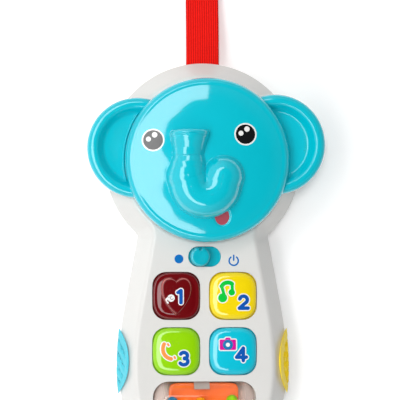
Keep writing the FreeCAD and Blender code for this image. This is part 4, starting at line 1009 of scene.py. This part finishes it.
def cap_height(x, y, moulded_heart):
    """Height of a key cap at places from its middle, with the first key's raised heart."""
    away = (np.abs(x / KEY_HALF) ** KEY_POWER + np.abs(y / KEY_HALF) ** KEY_POWER) ** (1 / KEY_POWER)
    crown = sizes().key_crown / MM
    height = KEY_SHOULDER_Z + crown * np.clip(1 - np.minimum(away, 1.0) ** 2.7, 0, 1) ** (1 / 2.1)
    if moulded_heart:
        height = height - HEART_HEIGHT * ease(-0.05, 0.05, heart_measure(x, y)) * (1 - ease(0.8, 0.97, away))
    return height


def on_key(name):
    """Surface of a key cap, for prints measured from the key's middle."""
    centre_x, centre_y = key_middle(name)

    def surface(x, y):
        return places(centre_x + x, centre_y + y, cap_height(x, y, name == KEYS[0]))

    return surface


class TOYPHONE_OT_keys(bpy.types.Operator):
    """Four pillow-shaped key caps with their flanges and stems"""

    bl_idname = "toyphone.keys"
    bl_label = "Keys"

    def execute(self, context):
        finishes = (
            finish(clear_red_styrene, "tinted_polystyrene_red", colours().key_1),
            finish(gloss_abs, "yellow_abs_gloss", colours().key_2),
            finish(gloss_abs, "lime_abs_gloss", colours().key_3),
            finish(gloss_abs, "sky_abs_gloss", colours().key_4),
        )
        slots = ("red_key", "yellow_key", "lime_key", "cyan_key")
        count = 180
        flange, flange_low, flange_high = KEY_FLANGE
        for name, material, slot in zip(KEYS, finishes, slots):
            x, y = key_middle(name)
            rings = [circle(*KEY_STEM, count, x, y), circle(KEY_STEM[0], flange_low, count, x, y),
                     squircle(flange, flange, 10, flange_low, count, x, y),
                     squircle(flange, flange, 10, flange_high, count, x, y),
                     squircle(KEY_HALF, KEY_HALF, KEY_POWER, flange_high, count, x, y)]
            edge = squircle(KEY_HALF, KEY_HALF, KEY_POWER, 0, count)
            for share in np.cos(np.linspace(0, math.pi / 2 - 0.01, 60)):
                across, upward = edge[:, 0] * share, edge[:, 1] * share
                height = cap_height(across, upward, name == KEYS[0])
                rings.append(places(x + across, y + upward, height))
            new_piece(name + "_cap", *loft(rings), material, name, slot, (name,), sharp=55)
        return {"FINISHED"}


# ---------------------------------------------------------------- pictures and numbers

DIGIT_STROKE = 1.75
DIGITS = {
    "1": [[(-1.0, 2.0), (0.45, 2.85), (0.45, -2.85)]],
    "2": [arc_line(0, 1.15, (1.85, 1.75), 165, -35) + [(-1.95, -2.85), (2.2, -2.85)]],
    "3": [arc_line(0, 1.4, (1.7, 1.5), 150, -80), arc_line(0, -1.4, (1.95, 1.6), 80, -150)],
    "4": [[(2.3, -1.35), (-2.3, -1.35), (0.9, 2.95), (0.9, -2.95)]],
}
DIGIT_PLACES = {"1": (1.7, -0.3), "2": (4.9, -3.0), "3": (3.5, -3.3), "4": (3.9, -1.4)}


class TOYPHONE_OT_pictures(bpy.types.Operator):
    """Printed numbers and pictures on the keys, each on its white ground, and a painted highlight on the
    heart
    """

    bl_idname = "toyphone.pictures"
    bl_label = "Numbers and pictures"

    def execute(self, context):
        blue = finish(pad_print, "pad_print_blue", colours().digit)
        for name, digit in zip(KEYS, DIGITS):
            x, y = DIGIT_PLACES[digit]
            lines = [[(x + px, y + py) for px, py in line] for line in DIGITS[digit]]
            self.label(name, "number", strokes(lines, DIGIT_STROKE), (x, y), (3.6, 4.3), blue)
        self.heart(KEYS[0])
        self.little_elephant(KEYS[0])
        self.notes(KEYS[1])
        self.handset(KEYS[2])
        self.camera(KEYS[3])
        return {"FINISHED"}

    def label(self, key, part, outline, middle, reach, colour, margin=0.5):
        """One picture in its ink over a wider white ground."""
        reach = (reach[0] + margin, reach[1] + margin)
        printed(f"{key}_{part}_ground", widened(outline, margin), reach, middle, on_key(key), ink("white"),
                key, 0.02)
        printed(f"{key}_{part}", outline, reach, middle, on_key(key), colour, key, 0.04)

    def little_elephant(self, key):
        """A small white elephant's head with a curled trunk."""
        head = joined(disc(-2.6, -1.0, 1.75), strokes([arc_line(-3.7, -2.1, 1.2, 60, 250)], 0.9))
        printed(f"{key}_elephant", head, (3, 3), (-3.3, -1.3), on_key(key), ink("white"), key, 0.02)
        ear = strokes([arc_line(-2.2, -0.9, 0.75, 100, 330)], 0.28)
        printed(f"{key}_elephant_ear", joined(ear, disc(-3.6, -0.6, 0.22)), (3, 3), (-3.0, -1.0), on_key(key),
                ink("grey"), key, 0.04, cell=0.12)

    def heart(self, key):
        """Painted highlight: a pale line printed along the edge of the heart moulded in the clear red key."""
        # The pale pink line is a painted highlight where the heart's edge would catch the light.
        pale = finish(pad_print, "tinted_polystyrene_lit_edge", linear("#D0706A"))

        def edge(x, y):
            return np.abs(heart_measure(x, y)) - 0.035

        printed(f"{key}_heart_painted_highlight", edge, (8.5, 9), (0, 0), on_key(key), pale, key, 0.015, cell=0.18)

    def notes(self, key):
        """A green pair of joined music notes."""
        stems = strokes([[(-4.1, -0.4), (-5.6, 4.7)], [(-0.6, 5.9), (-0.4, 1.9)]], 1.5)
        beam = strokes([[(-5.6, 4.6)] + arc_line(-2.6, 4.2, (2.9, 2.2), 160, 55) + [(-0.6, 5.8)]], 2.0)
        shape = joined(stems, beam, disc(-5.1, -0.9, 2.15), disc(-0.75, 1.75, 1.55))
        self.label(key, "notes", shape, (-3.5, 2.2), (4.6, 5.6), ink("green"))

    def handset(self, key):
        """An orange telephone receiver."""
        grip = strokes([arc_line(-1.9, 1.2, (4.6, 4.7), 150, 262)], 1.8)
        ends = strokes([[(-4.15, 3.55), (-3.75, 3.0)], [(-0.95, -2.55), (-0.7, -3.1)]], 1.0)
        self.label(key, "handset", joined(grip, ends), (-3.3, 0.0), (4.4, 5.2), ink("orange"))

    def camera(self, key):
        """A magenta camera with a blue lens ring."""
        middle = middle_x, middle_y = -2.6, 3.2
        body = joined(rounded_box(middle_x, middle_y, 3.9, 2.5, 0.5),
                      rounded_box(middle_x, middle_y + 2.3, 1.25, 1.1, 0.6))
        self.label(key, "camera", body, middle, (4.2, 3.8), ink("magenta"))
        glass = disc(*middle, 1.0)
        ring = cut_from(disc(*middle, 2.45), glass)
        printed(f"{key}_camera_lens", ring, (2.6, 2.6), middle, on_key(key), ink("lens_blue"), key, 0.06)
        printed(f"{key}_camera_glass", glass, (1.2, 1.2), middle, on_key(key), ink("white"), key, 0.06)


# ---------------------------------------------------------------- slide switch


# Half width and half length of the slide's plate, and the half section of its button.
SLIDE_PLATE = (11.0, 5.2)
SLIDE_BUTTON = ((4.7, 22.7), (4.7, 26.6), (4.55, 27.15), (4.2, 27.55), (3.7, 27.8), (2.6, 27.75), (1.2, 27.6),
                (0.2, 27.55))
SLIDE_BUTTON_X = -2.2
# Places of the printed dot and of the power mark beside the slot.
DOT_PLACE = (-12.3, -2.0)
POWER_PLACE = (14.0, -2.9)


class TOYPHONE_OT_slide(bpy.types.Operator):
    """Slide knob with its notched button, and the printed dot and power mark"""

    bl_idname = "toyphone.slide"
    bl_label = "Slide switch"

    def execute(self, context):
        teal = finish(gloss_abs, "teal_abs_gloss", colours().slide, 0.14)
        middle = node_middle("power_knob")
        count = 120
        around = turns(count)
        notch = 1 - 0.36 * np.exp(-(((around - math.pi / 2) / 0.2) ** 2))
        x, y = SLIDE_BUTTON_X, middle.y
        # The plate under the button covers the slot over the whole travel.
        rings = [squircle(1.0, 2.0, 8, 19.6, count, x, y), squircle(1.0, 2.0, 8, 21.0, count, x, y)]
        rings += [squircle(*SLIDE_PLATE, 12, height, count, middle.x, y) for height in (21.0, 22.7)]
        for radius, height in SLIDE_BUTTON:
            reach = radius * notch
            rings.append(places(x + reach * np.cos(around), y + reach * np.sin(around), height))
        new_piece("slide_knob", *loft(rings), teal, "power_knob", "teal_slide", ("power_knob",), sharp=50)
        blue = finish(pad_print, "pad_print_mark_blue", colours().mark)

        def casing(x, y):
            return places(x, y, FRONT_Z)

        printed("mark_dot", disc(*DOT_PLACE, 2.15), (2.4, 2.4), DOT_PLACE, casing, blue, "phone", 0.03)
        x, y = POWER_PLACE
        power = strokes([arc_line(x, y, 2.2, 128, 412, 32), [(x, y + 0.3), (x, y + 2.6)]], 0.75)
        printed("mark_power", power, (3, 3.4), POWER_PLACE, casing, blue, "phone", 0.03, cell=0.16)
        return {"FINISHED"}


# ---------------------------------------------------------------- roller

DRUM_RADIUS = 13.0
PADDLE = (16.75, 10.9)
PADDLE_ROD = 0.8
# Stations of the catch along the drum, each with its rise above the drum.
CATCH = ((-5.1, 0.2), (-5.0, 0.45), (-2.6, 0.2), (-2.5, 0.2), (-0.4, 0.2), (-0.3, 0.2), (2.3, 0.45),
         (2.4, 0.2))


class TOYPHONE_OT_roller(bpy.types.Operator):
    """Orange paddle on its rod inside the drum, and the catch that joins the drum's halves"""

    bl_idname = "toyphone.roller"
    bl_label = "Bead roller"

    def execute(self, context):
        orange = finish(satin_abs, "orange_abs_satin", colours().paddle, 0.25)
        low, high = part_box("roller_paddle")
        x, y, z = 0.0, ROLLER_AXIS.y, ROLLER_AXIS.z
        rings = []
        for inset, height in ((9.0, 0.45), (1.9, 0.45), (1.5, 0.8), (0.35, 0.8), (0.1, 0.7), (0.0, 0.4)):
            rings.append(squircle(PADDLE[0] - inset, PADDLE[1] - inset, 9, z - height, 96, x, y))
        rings += [places(ring[:, 0], ring[:, 1], 2 * z - ring[:, 2]) for ring in reversed(rings)]
        new_piece("paddle_plate", *loft(rings), orange, "roller", "orange_abs", ("roller_paddle",), sharp=45)
        section = turns(24)
        rod = [places(end / MM, y + PADDLE_ROD * np.cos(section), z + PADDLE_ROD * np.sin(section))
               for end in (low.x, high.x)]
        new_piece("paddle_rod", *loft(rod), orange, "roller", "orange_abs")
        self.catch(y, z)
        return {"FINISHED"}

    def catch(self, y, z):
        """Ribbed catch across the joint of the two drum halves."""
        grey = finish(satin_abs, "clear_abs_frosted", linear("#B9A8A0"), 0.2)
        arc = np.radians(np.linspace(22, 50, 10))
        rings = []
        for station, rise in CATCH:
            outer, inner = (
                [(station, y + radius * math.cos(turn), z + radius * math.sin(turn)) for turn in arc]
                for radius in (DRUM_RADIUS + rise, DRUM_RADIUS - 0.3)
            )
            rings.append(outer + inner[::-1])
        new_piece("roller_catch", *loft(rings), grey, "roller", "clear_plastic", sharp=30)


# ---------------------------------------------------------------- grips


GRIP_RADIUS = 29.0
GRIP_CENTRE = (65.1, -50.9)
GRIP_SLOPE = 1.18
PIMPLE_PITCH = 4.6
PIMPLE_ROW_PITCH = 2.9
PIMPLE_ROW_Z = 14.4
RIB_PITCH = 6.2
RIB_SLANT = 1.2


class TOYPHONE_OT_grips(bpy.types.Operator):
    """Soft side grips: slanting ribs on the left, pimples on the right"""

    bl_idname = "toyphone.grips"
    bl_label = "Side grips"

    def execute(self, context):
        left = finish(soft_elastomer, "elastomer_sky", colours().left_grip)
        right = finish(soft_elastomer, "elastomer_yellow", colours().right_grip)
        self.grip("left_grip", "cyan_grip", left, self.ribs, 1.5)
        self.grip("right_grip", "yellow_grip", right, self.pimples, 2.2)
        return {"FINISHED"}

    def ribs(self, y, z):
        """Depth of the slanting grooves at a place on the grip."""
        along = (y + RIB_SLANT * z) / RIB_PITCH
        return -1.0 * (1 - ease(0.0, 0.34, np.abs(along - np.round(along))))

    def pimples(self, y, z):
        """Height of the two rows of pimples at a place on the grip."""
        upward = z - PIMPLE_ROW_Z
        upward = upward - PIMPLE_ROW_PITCH * np.round(upward / PIMPLE_ROW_PITCH)
        along = y - PIMPLE_PITCH * np.round(y / PIMPLE_PITCH)
        away = np.hypot(along, upward * GRIP_SLOPE)
        return -0.95 * ease(0.85, 1.6, away)

    def grip(self, name, slot, material, relief, band):
        """A finely remeshed copy of the grip's solid with its relief pushed into the outer face."""
        mesh = NODES[name].data.copy()
        blank = bpy.data.objects.new(name + "_blank", mesh)
        bpy.context.scene.collection.objects.link(blank)
        remesh = blank.modifiers.new("even", "REMESH")
        remesh.mode = "VOXEL"
        remesh.voxel_size = 0.32 * MM
        remesh.adaptivity = 0
        smooth = blank.modifiers.new("soft", "SMOOTH")
        smooth.factor = 0.5
        smooth.iterations = 3
        bpy.context.view_layer.update()
        graph = bpy.context.evaluated_depsgraph_get()
        shaped = bpy.data.meshes.new_from_object(blank.evaluated_get(graph))
        bpy.data.objects.remove(blank)
        low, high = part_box(name)
        side = 1 if low.x > 0 else -1
        for vertex in shaped.vertices:
            x, y, z = vertex.co / MM
            plan_gap = GRIP_RADIUS - math.hypot(abs(x) - GRIP_CENTRE[0], y - GRIP_CENTRE[1])
            outward = max(0.0, vertex.normal.x * side + 0.6 * vertex.normal.z)
            edge = float(ease(band, band + 0.8, plan_gap) * ease(0.15, 0.5, outward))
            edge *= float(ease(12.6, 13.6, z))
            push = float(relief(y, z)) * edge
            vertex.co += vertex.normal * push * MM
        add_piece(name + "_skin", shaped, material, "phone", slot, (name,), sharp=70)


# ---------------------------------------------------------------- finishes of the CAD pieces


class TOYPHONE_OT_finishes(bpy.types.Operator):
    """Finishes for every CAD piece that keeps its own shape"""

    bl_idname = "toyphone.finishes"
    bl_label = "Casing and inner parts"

    def execute(self, context):
        zinc = finish(plated_steel, "zinc_plated_steel", "#B9BDC2", 0.3)
        nickel = finish(plated_steel, "nickel_plated_steel", "#C9C6BC", 0.22, (1, 1, 6))
        by_finish = [
            (white_abs(), ("front_shell", "rear_shell", "battery_door", "roller_cradle", "strap_bar",
                           "speaker_basket", "mirror_plate", "slide_switch")),
            (finish(clear_polycarbonate, "clear_polycarbonate"), ("roller_left_half", "roller_right_half")),
            (zinc, ("case_screws", "face_screws", "mirror_screws", "speaker_screws", "battery_door_screws",
                    "pivot_screw", "pivot_washer")),
            (nickel, ("snap_socket", "snap_stud", "pivot_pin", "battery_contacts", "battery_springs")),
            (finish(mirror_acrylic, "silvered_acrylic"), ("mirror",)),
            (finish(solder_mask, "solder_mask_green"), ("circuit_board",)),
            (finish(lamp_epoxy, "cast_epoxy_red"), ("heart_lamp",)),
            (finish(satin_abs, "black_abs_satin", linear("#1B1C1F")), ("sound_chip",)),
            (finish(cell_sleeve, "printed_pvc_sleeve"), ("battery_left", "battery_right")),
            (finish(woven_webbing, "woven_polyester_red"), ("strap_loop",)),
        ]
        # Name, colour, roughness, grain and depth of the dull materials.
        for *look, names in (
            ("moulded_silicone_grey", "#8E9094", 0.55, 0.5, 0.015, ("button_mat",)),
            ("printed_sleeve_black", "#1E2440", 0.25, 1.0, 0.01, ("capacitor",)),
            ("pressed_paper_grey", "#3A3A3C", 0.85, 0.4, 0.05, ("speaker_cone",)),
            ("sintered_ferrite", "#2B2A2A", 0.6, 0.3, 0.03, ("speaker_magnet",)),
            ("wire_pvc_red", "#A81C1C", 0.4, 0.6, 0.01, ("speaker_wire_left", "speaker_wire_right")),
        ):
            by_finish.append((finish(dull_material, *look), names))
        for colour, code in (("blue", "#1E8FC8"), ("yellow", "#FFB400"), ("green", "#8CDC00"),
                             ("red", "#D81E2C"), ("purple", "#7A3CB4"), ("white", "#F2F2EE")):
            bead = finish(gloss_abs, f"bead_abs_{colour}", linear(code), 0.12)
            by_finish.append((bead, (f"bead_{colour}",)))
        for material, names in by_finish:
            for name in names:
                self.give(name, material)
        return {"FINISHED"}

    def give(self, name, material):
        """Put a material in every slot of a CAD node."""
        node = NODES[name]
        if not node.material_slots:
            raise RuntimeError(f"{name} has no material slot")
        for slot in node.material_slots:
            slot.material = material


# ---------------------------------------------------------------- add-on


OPERATORS = (
    TOYPHONE_OT_stage, TOYPHONE_OT_strap, TOYPHONE_OT_face, TOYPHONE_OT_ears, TOYPHONE_OT_eyes,
    TOYPHONE_OT_keys, TOYPHONE_OT_pictures, TOYPHONE_OT_slide, TOYPHONE_OT_roller, TOYPHONE_OT_grips,
    TOYPHONE_OT_finishes,
)


class TOYPHONE_PT_panel(bpy.types.Panel):
    """Buttons for each group of pieces, with the colours and sizes"""

    bl_idname = "TOYPHONE_PT_panel"
    bl_label = "Toy Phone"
    bl_space_type = "VIEW_3D"
    bl_region_type = "UI"
    bl_category = "Toy Phone"

    def draw(self, context):
        for operator in OPERATORS:
            self.layout.operator(operator.bl_idname)
        for group in (context.scene.toy_phone_colours, context.scene.toy_phone_sizes):
            box = self.layout.box()
            for name in group.bl_rna.properties.keys():
                if name not in {"rna_type", "name"}:
                    box.prop(group, name)


CLASSES = (ToyPhoneColours, ToyPhoneSizes, *OPERATORS, TOYPHONE_PT_panel)


def register():
    """Register the classes and hang the settings on the scene."""
    for item in CLASSES:
        bpy.utils.register_class(item)
    bpy.types.Scene.toy_phone_colours = bpy.props.PointerProperty(type=ToyPhoneColours)
    bpy.types.Scene.toy_phone_sizes = bpy.props.PointerProperty(type=ToyPhoneSizes)


def unregister():
    """Take the settings and the classes away again."""
    del bpy.types.Scene.toy_phone_sizes
    del bpy.types.Scene.toy_phone_colours
    for item in reversed(CLASSES):
        bpy.utils.unregister_class(item)


def main():
    """Build everything in order."""
    register()
    for operator in OPERATORS:
        group, name = operator.bl_idname.split(".")
        getattr(getattr(bpy.ops, group), name)()


if __name__ == "__main__":
    main()
